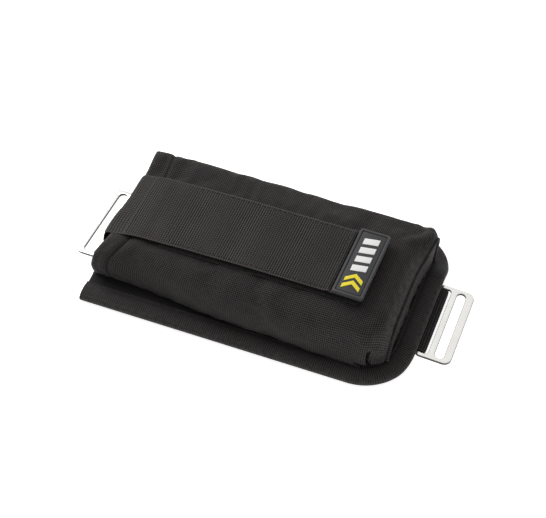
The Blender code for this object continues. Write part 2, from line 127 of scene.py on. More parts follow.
# Pull tab
TAB_LENGTH = 19.5 * MM
TAB_WIDTH = WEB_WIDTH + 1.2 * MM
TAB = 3.0 * MM
STRAP_TURN = radians(-1.45)
END_TURN = radians(-4)  # how far the left slide is turned on its webbing

# Three-bar slides and their loops
PLATE = 1.8 * MM
PLATE_ROUND = 0.35 * MM
SLIDE_LENGTH = 56 * MM
SLIDE_CORNER = 5 * MM
SLIDE_BARS = (5 * MM, 4 * MM, 5 * MM)
SLIDE_SLOTS = (4.2 * MM, 5.7 * MM)
SLOT_LENGTH = WEB_WIDTH + 1 * MM
SLIDE_TILT = radians(4)
PLATE_LOW = STRIP_LOW - GAP - PLATE
LOOP_LOW = PLATE_LOW - GAP - WEB
BAR_TUCK = 3 * MM
LEFT_TUCK = 6 * MM
HINGE_X = HALF_LENGTH + 0.2 * MM
HINGE_Z = STRIP_LOW + WEB + 0.3 * MM
TAIL_START = 15 * MM

STITCH = 2.6 * MM
STITCH_STEP = 3.4 * MM
THREAD = 0.28 * MM

# Millimetres of the weaves
WEAVE = 1.2
TAPE_RIB = 1.35

# The stuffed cover's settling: frames, share of it kept, and furthest move
SETTLING_FRAMES = 20
SETTLING = 0.6
SETTLING_LIMIT = 1.3 * MM

# The boxed tuck's upright and level folds, as start, end and depth on (x, z)
TUCK_FOLDS = (((81.5 * MM, 5 * MM), (80 * MM, 19 * MM), 4.4 * MM),
              ((73 * MM, 9 * MM), (82 * MM, 6 * MM), 3.6 * MM))

UP = Vector((0, 0, 1))
ENDS = (0, -1)
ROUNDER = {"levels": 1, "render_levels": 1}


def reckon(operation, swapped=False):
    """A Socket's method that adds one Math node."""
    def method(self, other=0.0):
        first, second = (other, self) if swapped else (self, other)
        return self.add("Math", {0: first, 1: second}, operation=operation)
    return method


class Socket:
    """One output of a shader node. Arithmetic on it adds Math nodes to the same material."""

    __add__ = __radd__ = reckon("ADD")
    __sub__, __rsub__ = reckon("SUBTRACT"), reckon("SUBTRACT", swapped=True)
    __mul__ = __rmul__ = reckon("MULTIPLY")
    __pow__ = reckon("POWER")
    sin, abs = reckon("SINE"), reckon("ABSOLUTE")
    least, most = reckon("MINIMUM"), reckon("MAXIMUM")

    def __init__(self, tree, output=None):
        self.tree = tree
        self.output = output

    def add(self, kind, inputs=None, output=0, **settings):
        """A new node: its settings first, then its sockets' values or links."""
        node = self.tree.nodes.new("ShaderNode" + kind)
        for name, value in settings.items():
            setattr(node, name, value)
        for place, value in (inputs or {}).items():
            if isinstance(value, Socket):
                self.tree.links.new(value.output, node.inputs[place])
            else:
                node.inputs[place].default_value = value
        return Socket(self.tree, node.outputs[output])

    def between(self, low, high):
        """0 below low, 1 above high, smooth between."""
        return self.add("MapRange", {0: self, 1: low, 2: high}, interpolation_type="SMOOTHSTEP")

    def noise(self, scale, detail=3.0, rough=0.55, at=None):
        """Even noise round 0.5, at so many patches a metre."""
        at = at or self.add("TexCoord", output="Object")
        return self.add("TexNoise", {"Vector": at, "Scale": scale, "Detail": detail,
                                     "Roughness": rough})

    def uv(self):
        """Millimetres along and across the cloth."""
        place = self.add("TexCoord", output="UV")
        return [self.add("SeparateXYZ", {0: place}, output=axis) for axis in (0, 1)]

    def painted_shade_and_wear(self):
        """The piece's attribute: above 0 where it is rubbed, below 0 where shade is painted in; on
        the steel it marks the cut edges for their painted dark reflection.
        """
        return self.add("Attribute", attribute_name="wear_and_painted_shade", output=2)

    def blend(self, first, second):
        """This factor's mix of two colours."""
        return self.add("Mix", {0: self, 6: colour_of(first), 7: colour_of(second)}, output=2,
                        data_type="RGBA")


def colour_of(value):
    return value if isinstance(value, Socket) or len(value) == 4 else (*value, 1.0)


def finish_named(name, roughness=0.6, metallic=0.0, **constants):
    """A new material, its shader and a Socket to start its nodes from."""
    material = bpy.data.materials.new(name)
    material.use_nodes = True
    shader = material.node_tree.nodes["Principled BSDF"]
    shader.inputs["Roughness"].default_value = roughness
    shader.inputs["Metallic"].default_value = metallic
    for place, value in constants.items():
        shader.inputs[place.replace("_", " ")].default_value = value
    return material, shader, Socket(material.node_tree)


def wire(shader, start, colour=None, roughness=None, height=None, bump=0.5, depth=0.1 * MM):
    """Links the things that vary over a surface to its shader."""
    links = {"Base Color": colour, "Roughness": roughness}
    if height:
        links["Normal"] = start.add("Bump", {"Strength": bump, "Distance": depth, "Height": height})
    for place, value in links.items():
        if value:
            start.tree.links.new(value.output, shader.inputs[place])


def cloth_finish(name, dark, light):
    """Coated plain-weave nylon: nubs where the yarns cross, uneven yarns, rubbed edges, and painted
    shade where the attribute is below 0.
    """
    material, shader, start = finish_named(name, Sheen_Weight=0.06, Sheen_Roughness=0.45,
                                           Specular_IOR_Level=0.22)
    u, v = start.uv()
    slub = start.noise(700, 2) - 0.5
    warp = (u * (pi / WEAVE) + slub * 0.8).sin()
    weft = (v * (pi / WEAVE) + slub * 0.8).sin()
    nub = (warp * weft).abs() ** 0.7
    patch = start.noise(34, 4)
    yarn = start.noise(1900, 1)
    wear_and_painted_shade = start.painted_shade_and_wear()
    rubbed = wear_and_painted_shade.most(0.0) * start.noise(420, 4).between(0.38, 0.66)
    # Painted shade: the attribute below 0 darkens the colour.
    shade = wear_and_painted_shade.least(0.0) + 1
    tone = nub * 1.5 + patch.between(0.3, 0.72) * 0.2 + (yarn - 0.5) * 0.8 + rubbed * 0.6 - 0.5
    colour = (tone * shade).most(0.0).least(1.3).blend(dark, light)
    roughness = 0.74 + patch * 0.12 - nub * 0.1 - rubbed * 0.1
    wire(shader, start, colour, roughness, nub + yarn * 0.35, 0.8, 0.22 * MM)
    return material


def webbing_finish(name, dark, light):
    """Ribbed nylon webbing: each rib is a row of floated yarns, with dots between."""
    material, shader, start = finish_named(name, Sheen_Weight=0.06, Sheen_Roughness=0.4,
                                           Specular_IOR_Level=0.25)
    u, v = start.uv()
    turn = u * (2 * pi * MM / RIB)
    crest = turn.sin() * 0.5 + 0.5
    dots = ((v * (2 * pi / 1.5) + (turn * 0.5).sin() * 1.2).sin() * 0.5 + 0.5) ** 1.3
    strand = (v * (2 * pi / 0.42)).sin() * 0.5 + 0.5
    patch = start.noise(45, 3)
    fuzz = start.noise(2400, 1)
    wear_and_painted_shade = start.painted_shade_and_wear()
    tone = (crest * (0.2 + dots * 1.15) + (fuzz - 0.5) * 0.5 + patch.between(0.35, 0.7) * 0.12
            + wear_and_painted_shade * 0.5 - 0.08)
    colour = tone.most(0.0).least(1.2).blend(dark, light)
    wire(shader, start, colour, 0.72 - crest * 0.16 + fuzz * 0.1,
         crest * 0.4 + dots * crest * 0.7 + strand * 0.2, 0.6, 0.2 * MM)
    return material


def tape_finish(name, dark, light):
    """Binding tape: fine ribs across it and a finer yarn along them."""
    material, shader, start = finish_named(name, Sheen_Weight=0.08, Sheen_Roughness=0.4,
                                           Specular_IOR_Level=0.25)
    u, v = start.uv()
    slub = start.noise(260, 3) - 0.5
    rib = (u * (2 * pi / TAPE_RIB) + slub * 0.9).sin() * 0.5 + 0.5
    strand = (v * (2 * pi / 0.5) + slub * 2.0).sin() * 0.5 + 0.5
    patch = start.noise(38, 4)
    rubbed = start.painted_shade_and_wear() * start.noise(500, 4).between(0.35, 0.65)
    tone = rib * 0.95 + strand * 0.15 + patch.between(0.3, 0.7) * 0.22 + rubbed * 0.6 - 0.22
    colour = tone.most(0.0).least(1.3).blend(dark, light)
    wire(shader, start, colour, 0.66 + patch * 0.16 - rib * 0.08, rib + strand * 0.3, 0.5,
         0.13 * MM)
    return material


def pile_finish(name, dark, light, scale):
    """Hook or loop tape: a dense pile of tiny crooked ends."""
    material, shader, start = finish_named(name, 0.95, Sheen_Weight=0.05, Sheen_Roughness=0.6,
                                           Specular_IOR_Level=0.1)
    pile = start.noise(scale, 3, 0.7)
    patch = start.noise(90, 2)
    colour = (pile.between(0.35, 0.75) * 0.8 + patch * 0.3).blend(dark, light)
    wire(shader, start, colour, None, pile, 1.0, 0.4 * MM)
    return material


def thread_finish(name, dark, light):
    material, shader, start = finish_named(name, 0.55, Sheen_Weight=0.1, Specular_IOR_Level=0.3)
    twist = start.noise(3000, 1)
    wire(shader, start, twist.blend(dark, light), 0.5 + twist * 0.15, twist, 0.5, 0.05 * MM)
    return material


def steel_finish():
    """Polished stainless plate: faint drawn lines along it, a few scratches, and a painted dark
    reflection on its cut edges.
    """
    material, shader, start = finish_named("polished_stainless", 0.2, 1.0)
    place = start.add("TexCoord", output="Object")
    lengthways = start.add("Mapping", {"Vector": place, "Scale": (2600.0, 60.0, 900.0)})
    slanting = start.add("Mapping", {"Vector": place, "Rotation": (0.0, 0.0, 0.7),
                                     "Scale": (90.0, 2600.0, 300.0)})
    drawn = start.noise(1, 3, 0.6, lengthways)
    scratch = start.noise(1, 2, 0.5, slanting)
    cloud = start.noise(95, 4)
    scratched = scratch.between(0.62, 0.7)
    face = (cloud * 0.7 + drawn * 0.3).blend((0.60, 0.59, 0.565), (0.78, 0.77, 0.745))
    # Painted reflection: the cut edges are coloured near black in place of the dark surroundings
    # they would reflect.
    colour = start.painted_shade_and_wear().blend(face, (0.05, 0.05, 0.05))
    roughness = 0.08 + drawn * 0.1 + cloud * 0.08 + scratched * 0.12
    wire(shader, start, colour, roughness, drawn * 0.5 - scratched * 0.5, 0.12, 0.03 * MM)
    return material


def moulded_finish(name, dark, light, roughness=0.5, scuffs=0.3):
    """Soft moulded plastic: a fine grain, faint flow marks and scuffs."""
    material, shader, start = finish_named(name, roughness, Specular_IOR_Level=0.45)
    grain = start.noise(2600, 2)
    flow = start.noise(120, 3)
    scuff = start.noise(900, 5, 0.7).between(0.6, 0.72)
    colour = (flow * 0.6 + grain * 0.25 + scuff * scuffs).least(1.0).blend(dark, light)
    wire(shader, start, colour, roughness - 0.08 + flow * 0.16 + scuff * 0.1, grain + flow * 0.4,
         0.35, 0.05 * MM)
    return material


def lead_finish():
    """Lead under a thin grey coat, rubbed bright in places and mottled all over."""
    material, shader, start = finish_named("coated_lead", 0.5, Coat_Weight=0.15, Coat_Roughness=0.4)
    mottle = start.noise(160, 6, 0.65)
    pit = start.noise(700, 2).between(0.66, 0.74)
    rubbed = start.noise(60, 5).between(0.52, 0.66)
    colour = (mottle * 0.6 + rubbed * 0.4).blend((0.055, 0.057, 0.062), (0.23, 0.235, 0.245))
    start.tree.links.new((rubbed * 0.55).output, shader.inputs["Metallic"])
    wire(shader, start, colour, 0.62 - rubbed * 0.2 + pit * 0.1, mottle * 0.5 - pit, 0.5, 0.25 * MM)
    return material


def paper_finish():
    """The floor's pale matt sweep, with the faintest mottle."""
    material, shader, start = finish_named("white_sweep", 0.9, Specular_IOR_Level=0.2,
                                           Emission_Strength=0.75, Emission_Color=(1, 1, 1, 1))
    tone = start.noise(6, 2)
    wire(shader, start, tone.blend((0.90, 0.90, 0.90), (0.92, 0.92, 0.92)))
    return material


def smooth(past, length=1.0):
    """0 up to 0, 1 from a length on, smooth between."""
    share = min(max(past / length, 0), 1)
    return share * share * (3 - 2 * share)


def bell(distance, width):
    return exp(-(distance / width) ** 2)


def waver(x, y, z):
    """Smooth noise round 0, the same on each run."""
    return noise.noise(Vector((x, y, z)))


def arc(center, radius, start, end, steps):
    """Points of an arc in a plane, angles in degrees."""
    angles = [radians(start + (end - start) * i / steps) for i in range(steps + 1)]
    return [(center[0] + radius * cos(a), center[1] + radius * sin(a)) for a in angles]


def steps_between(start, end, step):
    """Evenly spaced values from start to end, about a step apart, both ends in."""
    count = max(round((end - start) / step), 1)
    return [start + (end - start) * i / count for i in range(count + 1)]


def walk(route, stops):
    """The points at these distances along a route, with the direction there."""
    route = np.array(route, float)
    lengths = np.linalg.norm(np.diff(route, axis=0), axis=1)
    reach = np.concatenate([[0], np.cumsum(lengths)])
    points, ahead, behind = [
        np.stack([np.interp(np.add(stops, shift), reach, line) for line in route.T], axis=1)
        for shift in (0, 0.3 * MM, -0.3 * MM)]
    along = ahead - behind
    return points, along / np.linalg.norm(along, axis=1)[:, None]


def length_of(route):
    return float(np.linalg.norm(np.diff(np.array(route, float), axis=0), axis=1).sum())


def loft(name, rows, caps=None, wear_and_painted_shade=None):
    """A surface through rows of points: an open sheet, or with caps a tube closed at those rows.
    The UV map holds the millimetres from row to row and along each row."""
    rows = np.array(rows, float)
    count, across = rows.shape[:2]
    middle = rows[:, across // 2]
    along = np.concatenate([[0], np.cumsum(np.linalg.norm(np.diff(middle, axis=0), axis=1))]) / MM
    loop = np.vstack([rows[count // 2], rows[count // 2][:1]])
    side = np.concatenate([[0], np.cumsum(np.linalg.norm(np.diff(loop, axis=0), axis=1))]) / MM
    bm = bmesh.new()
    layer = bm.loops.layers.uv.new("UVMap")
    painted_shade_and_wear = bm.verts.layers.float.new("wear_and_painted_shade")
    grid = [[bm.verts.new(point) for point in row] for row in rows]
    if wear_and_painted_shade is not None:
        for i in range(count):
            for j in range(across):
                grid[i][j][painted_shade_and_wear] = wear_and_painted_shade(i, j)
    for i in range(count - 1):
        for j in range(across if caps else across - 1):
            corners = ((i, j), (i + 1, j), (i + 1, j + 1), (i, j + 1))
            face = bm.faces.new([grid[a][b % across] for a, b in corners])
            for corner, (a, b) in zip(face.loops, corners):
                corner[layer].uv = (along[a], side[b])
    for end in caps or ():
        bm.faces.new(grid[end])
    if caps:
        bmesh.ops.recalc_face_normals(bm, faces=bm.faces)
    mesh = bpy.data.meshes.new(name)
    bm.to_mesh(mesh)
    bm.free()
    return object_of(name, mesh)


def object_of(name, data):
    piece = bpy.data.objects.new(name, data)
    bpy.context.scene.collection.objects.link(piece)
    return piece


def finished(piece, **modifiers):
    """Adds modifiers by their type, applies them, and smooths what is rounder than 40 degrees."""
    for kind, settings in modifiers.items():
        modifier = piece.modifiers.new(kind, kind)
        for name, value in settings.items():
            setattr(modifier, name, value)
    pick(piece)
    for modifier in list(piece.modifiers):
        bpy.ops.object.modifier_apply(modifier=modifier.name)
    bpy.ops.object.shade_smooth_by_angle(angle=radians(40))
    return piece


def pick(piece):
    """Makes this the only selected object, and the active one."""
    bpy.ops.object.select_all(action="DESELECT")
    piece.select_set(True)
    bpy.context.view_layer.objects.active = piece


def settle(piece, finish, body=None, stands_for=(), blend=None):
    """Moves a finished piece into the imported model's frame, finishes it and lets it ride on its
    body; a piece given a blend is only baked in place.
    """
    piece.data.transform(Matrix.Translation((MIDDLE_X, 0, 0)))
    piece.data.materials.clear()
    piece.data.materials.append(finish)
    if blend:
        first, second, start, end = blend
        shift = Vector((MIDDLE_X, 0, 0))
        Vector(start) + shift
        Vector(end) + shift
        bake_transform(piece)
    else:
        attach(piece, body)
    if stands_for:
        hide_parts(*stands_for)
    return piece


def bow(y):
    """How far the base hangs down at y: level over the webbing, lower to its edges."""
    return -DROOP * smooth(abs(y) - BOW_START, BOW_END - BOW_START)


def panel_top(y):
    return PANEL_TOP + bow(y)


def base_outline(inset=0.0):
    """The base's edge from its front left corner round to its back left one."""
    right = HALF_LENGTH - inset
    side = HALF_WIDTH - inset
    front = FRONT_CORNER - inset
    back = BACK_CORNER - inset
    points = [(-HALF_LENGTH, -side)]
    points += arc((right - front, -side + front), front, -90, 0, 40)
    points += arc((right - back, side - back), back, 0, 90, 40)
    points.append((-HALF_LENGTH, side))
    return points


def edge_y(x, side, inset):
    """The panel's edge at x, in front (side -1) or at the back (side 1)."""
    corner = (FRONT_CORNER if side < 0 else BACK_CORNER) - inset
    past = max(x - (HALF_LENGTH - inset - corner), 0)
    return side * (HALF_WIDTH - inset - corner + sqrt(max(corner**2 - past**2, 0)))


def make_pad():
    """The panel: foam between two cloths, raw edges inside the binding, its left edge turned in."""
    inset = BINDING + GAP
    half = (PANEL_TOP - PANEL_LOW) / 2
    middle = (PANEL_TOP + PANEL_LOW) / 2
    left = -HALF_LENGTH
    stations = [left + half * (1 - cos(radians(a))) for a in (12, 35, 60, 90)]
    stations += steps_between(left + 3 * MM, HALF_LENGTH - inset - 0.3 * MM, 2.6 * MM)
    rows = []
    for x in stations:
        low_y, high_y = edge_y(x, -1, inset), edge_y(x, 1, inset)
        full = sqrt(max(1 - max(1 - (x - left) / half, 0) ** 2, 0))
        top, bottom = [], []
        for i in range(61):
            y = low_y + (high_y - low_y) * (0.5 - 0.5 * cos(pi * i / 60))
            rim = min(abs(y - low_y), abs(y - high_y)) / (2 * half)
            thick = half * full * sqrt(min(1, 0.15 + rim * 2))
            puff = PAD_PUFF * smooth(abs(y) - 38 * MM, 6 * MM) * full
            ripple = 0.22 * MM * waver(x * 60, y * 90, 2)
            top.append((x, y, middle + bow(y) + thick + puff + ripple * full))
            bottom.append((x, y, middle + bow(y) - thick))
        rows.append(top + bottom[::-1])

    def wear_and_painted_shade(i, j):
        """Painted shade: darker where the pouch's front shades the panel near its foot."""
        x, y, z = rows[i][j]
        foot = front_y(x) + SEAM_TUCK - front_slack(x)
        return -0.65 * bell(y - foot + 2 * MM, 5 * MM) * (x > MOUTH_X)

    pad = loft("base_pad", rows, ENDS, wear_and_painted_shade)
    finished(pad, SUBSURF=ROUNDER)
    settle(pad, PANEL_CLOTH_PAINTED_SHADE, "root", ("base_top_panel", "base_foam", "base_back_panel"))


def binding_section():
    """The tape's fold, as (distance in from the edge, height), from its lower leg to its upper."""
    low = BINDING_LOW + BINDING / 2
    high = PANEL_TOP + GAP + BINDING / 2
    radius = (high - low) / 2
    middle = (high + low) / 2
    section = [(d, low) for d in (BINDING_LEG, 11 * MM, 8 * MM, 5 * MM)]
    section += arc((BINDING / 2 + radius, middle), radius, 270, 90, 12)
    for d in steps_between(BINDING / 2 + radius + 0.6 * MM, BINDING_LEG, 0.55 * MM):
        share = (d - radius) / (BINDING_SEAM - radius)
        puff = 0.75 * MM * sin(pi * min(share, 1)) ** 0.7
        groove = 0.35 * MM * bell(d - BINDING_SEAM, 0.5 * MM)
        section.append((d, high + puff - groove))
    return section


def make_binding():
    """Ribbed tape folded round the front, right and back edges, and its stitching."""
    edge = base_outline()
    stops = steps_between(0, length_of(edge), 1.3 * MM)
    points, along = walk(edge, stops)
    section = binding_section()
    rows = []
    for i, ((x, y), (ax, ay)) in enumerate(zip(points, along)):
        row = []
        for d, z in section:
            px, py = x - ay * d, y + ax * d
            pucker = 0.1 * MM * sin(2 * pi * stops[i] / STITCH_STEP) * smooth(d - 7 * MM, 4 * MM)
            uneven = (0.16 * MM * waver(stops[i] * 130, d * 100, 4) + pucker) * (z > PANEL_TOP)
            row.append((px, py, max(z + bow(py) + uneven, BINDING / 2)))
        rows.append(row)
    round_edge = [i for i, (d, z) in enumerate(section) if d < 3.2 * MM]
    tape = loft("binding_tape", rows,
                wear_and_painted_shade=lambda i, j: 0.85 if j in round_edge else 0.25 * (j > round_edge[-1]))
    finished(tape, SOLIDIFY={"thickness": BINDING, "offset": 0.0, "use_even_offset": True},
             BEVEL={"width": 0.2 * MM, "segments": 2, "limit_method": "ANGLE"})
    settle(tape, TAPE, "root", ("edge_binding",))
    upper = [i for i, (d, z) in enumerate(section) if z > PANEL_TOP]
    seam = next(i for i in upper if section[i][0] >= BINDING_SEAM - 0.3 * MM)
    line = [Vector(row[seam]) + UP * (BINDING / 2 + 0.1 * MM) for row in rows]
    sew("binding_stitches", [line], lambda place: UP)


def stitch_shape():
    """One lock stitch: a short thread with rounded ends that dip into the cloth, along X."""
    bpy.ops.object.select_all(action="DESELECT")
    bpy.ops.mesh.primitive_uv_sphere_add(segments=6, ring_count=5, radius=THREAD)
    bead = bpy.context.object
    bpy.ops.object.mode_set(mode="EDIT")
    bpy.ops.mesh.select_all(action="SELECT")
    bpy.ops.transform.rotate(value=pi / 2, orient_axis="Y", center_override=(0, 0, 0))
    bpy.ops.transform.resize(value=(STITCH / 2 / THREAD, 1, 0.8), center_override=(0, 0, 0))
    bpy.ops.object.mode_set(mode="OBJECT")
    points = np.array([v.co for v in bead.data.vertices])
    points[:, 2] -= 0.25 * MM * (2 * points[:, 0] / STITCH) ** 2
    faces = [list(p.vertices) for p in bead.data.polygons]
    bpy.data.objects.remove(bead, do_unlink=True)
    return points, faces


def sew(name, lines, out_of, body="root", blend=None):
    """Stitches along lines of points, flat on the cloth that out_of(point) looks away from."""
    shape, faces = STITCH_SHAPE
    points, polygons = [], []
    for line in lines:
        total = length_of(line)
        stops = [total / 2]
        if total > 2 * STITCH:
            stops = steps_between(STITCH, total - STITCH, STITCH_STEP)
        places, along = walk(line, stops)
        for place, x_axis in zip(places, along):
            up = out_of(place)
            y_axis = Vector(up).cross(Vector(x_axis)).normalized()
            z_axis = Vector(x_axis).cross(y_axis)
            turned = shape @ np.array([x_axis, y_axis, z_axis]) + place
            polygons += [[corner + len(points) for corner in face] for face in faces]
            points += turned.tolist()
    mesh = bpy.data.meshes.new(name)
    mesh.from_pydata(points, [], polygons)
    mesh.shade_smooth()
    settle(object_of(name, mesh), THREAD_BLACK, body, (), blend)


def seat(x, y):
    """Height of the pouch's foot: on the panel, and up on the tape round the right end."""
    start = HALF_LENGTH - FRONT_CORNER
    return panel_top(y) + (BINDING + GAP) * smooth(x - start, SEAT_RAMP)


def crown(x):
    height, slope, curve = CROWN
    return height + slope * x + curve * x * x


def end_roll(x):
    """How far the rounding at the closed end brings the top down at x."""
    past = min(max(x - (END_X - END_ROUND), 0), END_ROUND)
    return END_ROUND - sqrt(END_ROUND**2 - past**2)


def front_y(x):
    return -(HALF_WIDTH - FRONT_MARGIN) - FRONT_FLARE * x


def pouch_section(x):
    """Outer points (y, z) of the pouch at x, from its front seam over the top to its back seam."""
    top = crown(x)
    front = front_y(x)
    seam = front + SEAM_TUCK
    foot = seat(x, seam)
    points = []
    for i in range(12):
        a = radians(90 * i / 12)
        points.append((seam - SEAM_TUCK * sin(a), foot + (BULGE_HEIGHT - foot) * (1 - cos(a))))
    for i in range(24):
        a = radians(90 * i / 24)
        points.append((-HALF_WEB + (front + HALF_WEB) * cos(a),
                       BULGE_HEIGHT + (top - BULGE_HEIGHT) * sin(a)))
    flat = BOW_START
    points += [(-HALF_WEB + (flat + HALF_WEB) * i / 20, top) for i in range(21)]
    edge = BACK_Y - BACK_ROUND
    wall = BACK_HEIGHT - BACK_ROUND
    for i in range(1, 8):
        points.append((flat + (edge - flat) * i / 8, top + (BACK_HEIGHT - top) * smooth(i / 8)))
    points += arc((edge, wall), BACK_ROUND, 90, 0, 6)
    low = seat(x, BACK_Y - BACK_LEAN)
    for i in range(1, 13):
        share = i / 12
        puff = BACK_PUFF * sin(pi * share)
        points.append((BACK_Y - BACK_LEAN * share + puff, wall + (low - wall) * share))
    return points


def drawn_in(points, x):
    """Draws the section in where the closed end rolls over."""
    roll = end_roll(x)
    keep_z = 1 - roll / (BACK_HEIGHT - PANEL_TOP)
    keep_y = 1 - END_INSET * roll / BACK_Y
    return [(y * keep_y, seat(x, y * keep_y) + (z - seat(x, y)) * keep_z) for y, z in points]


def mouth_lean(z):
    return -MOUTH_LEAN * (BACK_HEIGHT - z) / (BACK_HEIGHT - PANEL_TOP)


def pouch_row(x, depth=0.0):
    """The section at x in space, so deep inside the outer face, leaning out at the mouth."""
    section = np.array(drawn_in(pouch_section(x), x))
    ahead = np.vstack([section[1:], section[-1:]]) - np.vstack([section[:1], section[:-1]])
    ahead /= np.linalg.norm(ahead, axis=1)[:, None]
    section = section + np.stack([ahead[:, 1], -ahead[:, 0]], axis=1) * depth
    lean = 1 - smooth(x - MOUTH_X, 2 * HEM)
    return [slumped(x + lean * mouth_lean(z) - mouth_push(x, y, z), y, z) for y, z in section]


def mouth_push(x, y, z):
    """How far the weights push the open end's slack front corner out."""
    front = smooth(-y - 19 * MM, 18 * MM)
    low = smooth(35 * MM - z, 13 * MM)
    tuck = 1 - 0.4 * smooth(17 * MM - z, 8 * MM)
    reach = (5.4 + 3.0 * smooth(x - MOUTH_X, HEM)) * MM
    return front * low * tuck * reach * (1 - smooth(x - MOUTH_X - HEM, 55 * MM))


def front_slack(x):
    """How far the front wall's foot lies out past its sewing line, less at the rounded corner."""
    return (1.5 + 4.5 * smooth(x + 95 * MM, 110 * MM) - 8 * smooth(x - 73 * MM, 20 * MM)) * MM


def slumped(x, y, z):
    """A point of the pouch as it sits: slumped at the closed end, but for the boxy back corner."""
    near = smooth(x - END_X + 17 * MM, 17 * MM) ** 1.5
    upper = smooth(z - 10 * MM, 14 * MM)
    back = smooth(y - 22 * MM, 14 * MM)
    corner = smooth(x - END_X + 9 * MM, 9 * MM) * smooth(y - 30 * MM, 8 * MM) * upper
    flat = 1 - smooth(y - 10 * MM, 30 * MM)
    front = smooth(-y - 20 * MM, 17 * MM)
    out = front * front_slack(x)
    low = 1 - smooth(z - 12 * MM, 14 * MM)
    belly = sin(pi * min(max((z - 5 * MM) / (27 * MM), 0), 1))
    sag = 4.5 * MM * front * smooth(x - 15 * MM, 50 * MM) * belly
    drop = 4.6 * MM * near * upper * (1 - back) + sag + (bow(y) - bow(y - out)) * low
    return (x + 1.2 * MM * corner - 3.3 * MM * near * flat, y - out, z - drop + 3.4 * MM * corner)


def cover_stations():
    """(x, depth) of the cover's rows: inside the mouth, round its lip, and to the closed end."""
    deep = 2 * LIP
    stations = [(x, deep) for x in steps_between(MOUTH_X + LIP, MOUTH_X + HEM, 1.6 * MM)[::-1]]
    for a in (-60, -30, 0, 30, 60):
        angle = radians(a)
        stations.append((MOUTH_X + LIP - LIP * cos(angle), LIP - LIP * sin(angle)))
    outer = steps_between(MOUTH_X + LIP, MOUTH_X + HEM + 3 * MM, 0.8 * MM)
    outer += steps_between(outer[-1], 73 * MM, 2.4 * MM)[1:]
    outer += steps_between(outer[-1], END_X - END_ROUND, 0.75 * MM)[1:]
    outer += [END_X - END_ROUND + END_ROUND * sin(radians(a)) for a in range(8, 91, 6)]
    return stations + [(x, 0.0) for x in outer + [END_X]]


def cubic_rows(wanted, known):
    """A matrix that smoothly reads values at wanted places from those at known ones."""
    table = np.zeros((len(wanted), len(known)))
    for row, place in enumerate(wanted):
        i = int(np.clip(np.searchsorted(known, place) - 1, 0, len(known) - 2))
        t = float(np.clip((place - known[i]) / (known[i + 1] - known[i]), 0, 1))
        shares = (-0.5 * t + t**2 - 0.5 * t**3, 1 - 2.5 * t**2 + 1.5 * t**3,
                  0.5 * t + 2 * t**2 - 1.5 * t**3, -0.5 * t**2 + 0.5 * t**3)
        for k, share in zip((i - 1, i, i + 1, i + 2), shares):
            table[row, min(max(k, 0), len(known) - 1)] += share
    return table


def stuffed():
    """Where the stuffed cover's cloth goes: (stations, columns, moves) of a coarse grid. A closed
    bag on the cover's outer face is blown up a little with its seams held."""
    stations = steps_between(MOUTH_X + LIP, END_X - 0.4 * MM, 4.0 * MM)
    seam_row = int(np.argmin([abs(x - MOUTH_X - HEM) for x in stations]))
    stations[seam_row] = MOUTH_X + HEM
    full = len(pouch_section(0))
    columns = list(range(0, full - 1, 2)) + [full - 1]
    rows = [[pouch_row(x, 0.4 * MM)[c] for c in columns] for x in stations]
    bag = loft("stuffed_bag", rows, ENDS)
    count, across = len(stations), len(columns)
    held = bag.vertex_groups.new(name="sewn")
    for i, x in enumerate(stations):
        for j in range(across):
            y, z = rows[i][j][1:]
            on_seam = i in (0, seam_row, count - 1) or j in (0, across - 1)
            patched = abs(y) < HALF_WEB + 1 * MM and x > PATCH_START - 10 * MM and z > 25 * MM
            held.add([i * across + j], 1.0 if on_seam else 0.85 * patched, "REPLACE")
    cloth = bag.modifiers.new("settling", "CLOTH")
    for name, value in (("quality", 6), ("mass", 0.2), ("tension_stiffness", 18),
                        ("compression_stiffness", 18), ("shear_stiffness", 8),
                        ("bending_stiffness", 0.4), ("shrink_min", -0.025),
                        ("vertex_group_mass", "sewn"), ("use_pressure", True),
                        ("uniform_pressure_force", 3.5)):
        setattr(cloth.settings, name, value)
    cloth.settings.effector_weights.gravity = 0
    cloth.collision_settings.use_collision = False
    cloth.point_cache.frame_start, cloth.point_cache.frame_end = 1, SETTLING_FRAMES
    for step in range(1, SETTLING_FRAMES + 1):
        bpy.context.scene.frame_set(step)
    settled = bag.evaluated_get(bpy.context.evaluated_depsgraph_get()).to_mesh()
    after, before = [np.array([v.co for v in mesh.vertices])[: count * across]
                     for mesh in (settled, bag.data)]
    moves = (after - before).reshape(count, across, 3)
    far = np.linalg.norm(moves, axis=2, keepdims=True)
    moves *= SETTLING * np.minimum(1, SETTLING_LIMIT / np.maximum(far, 1e-9))
    bpy.data.objects.remove(bag, do_unlink=True)
    bpy.context.scene.frame_set(1)
    return stations, columns, moves


def tuck(x, y, z):
    """How deep the tuck at the front right corner pinches the cloth, along its two folds."""
    if y > -25 * MM or x < 70 * MM:
        return 0.0
    depth = 0.0
    for start, end, deep in TUCK_FOLDS:
        fold = Vector(end) - Vector(start)
        place = Vector((x, z)) - Vector(start)
        gap = place - fold * min(max(place.dot(fold) / fold.length_squared, 0), 1)
        depth = max(depth, deep * bell(gap.length, 1.1 * MM))
    return depth


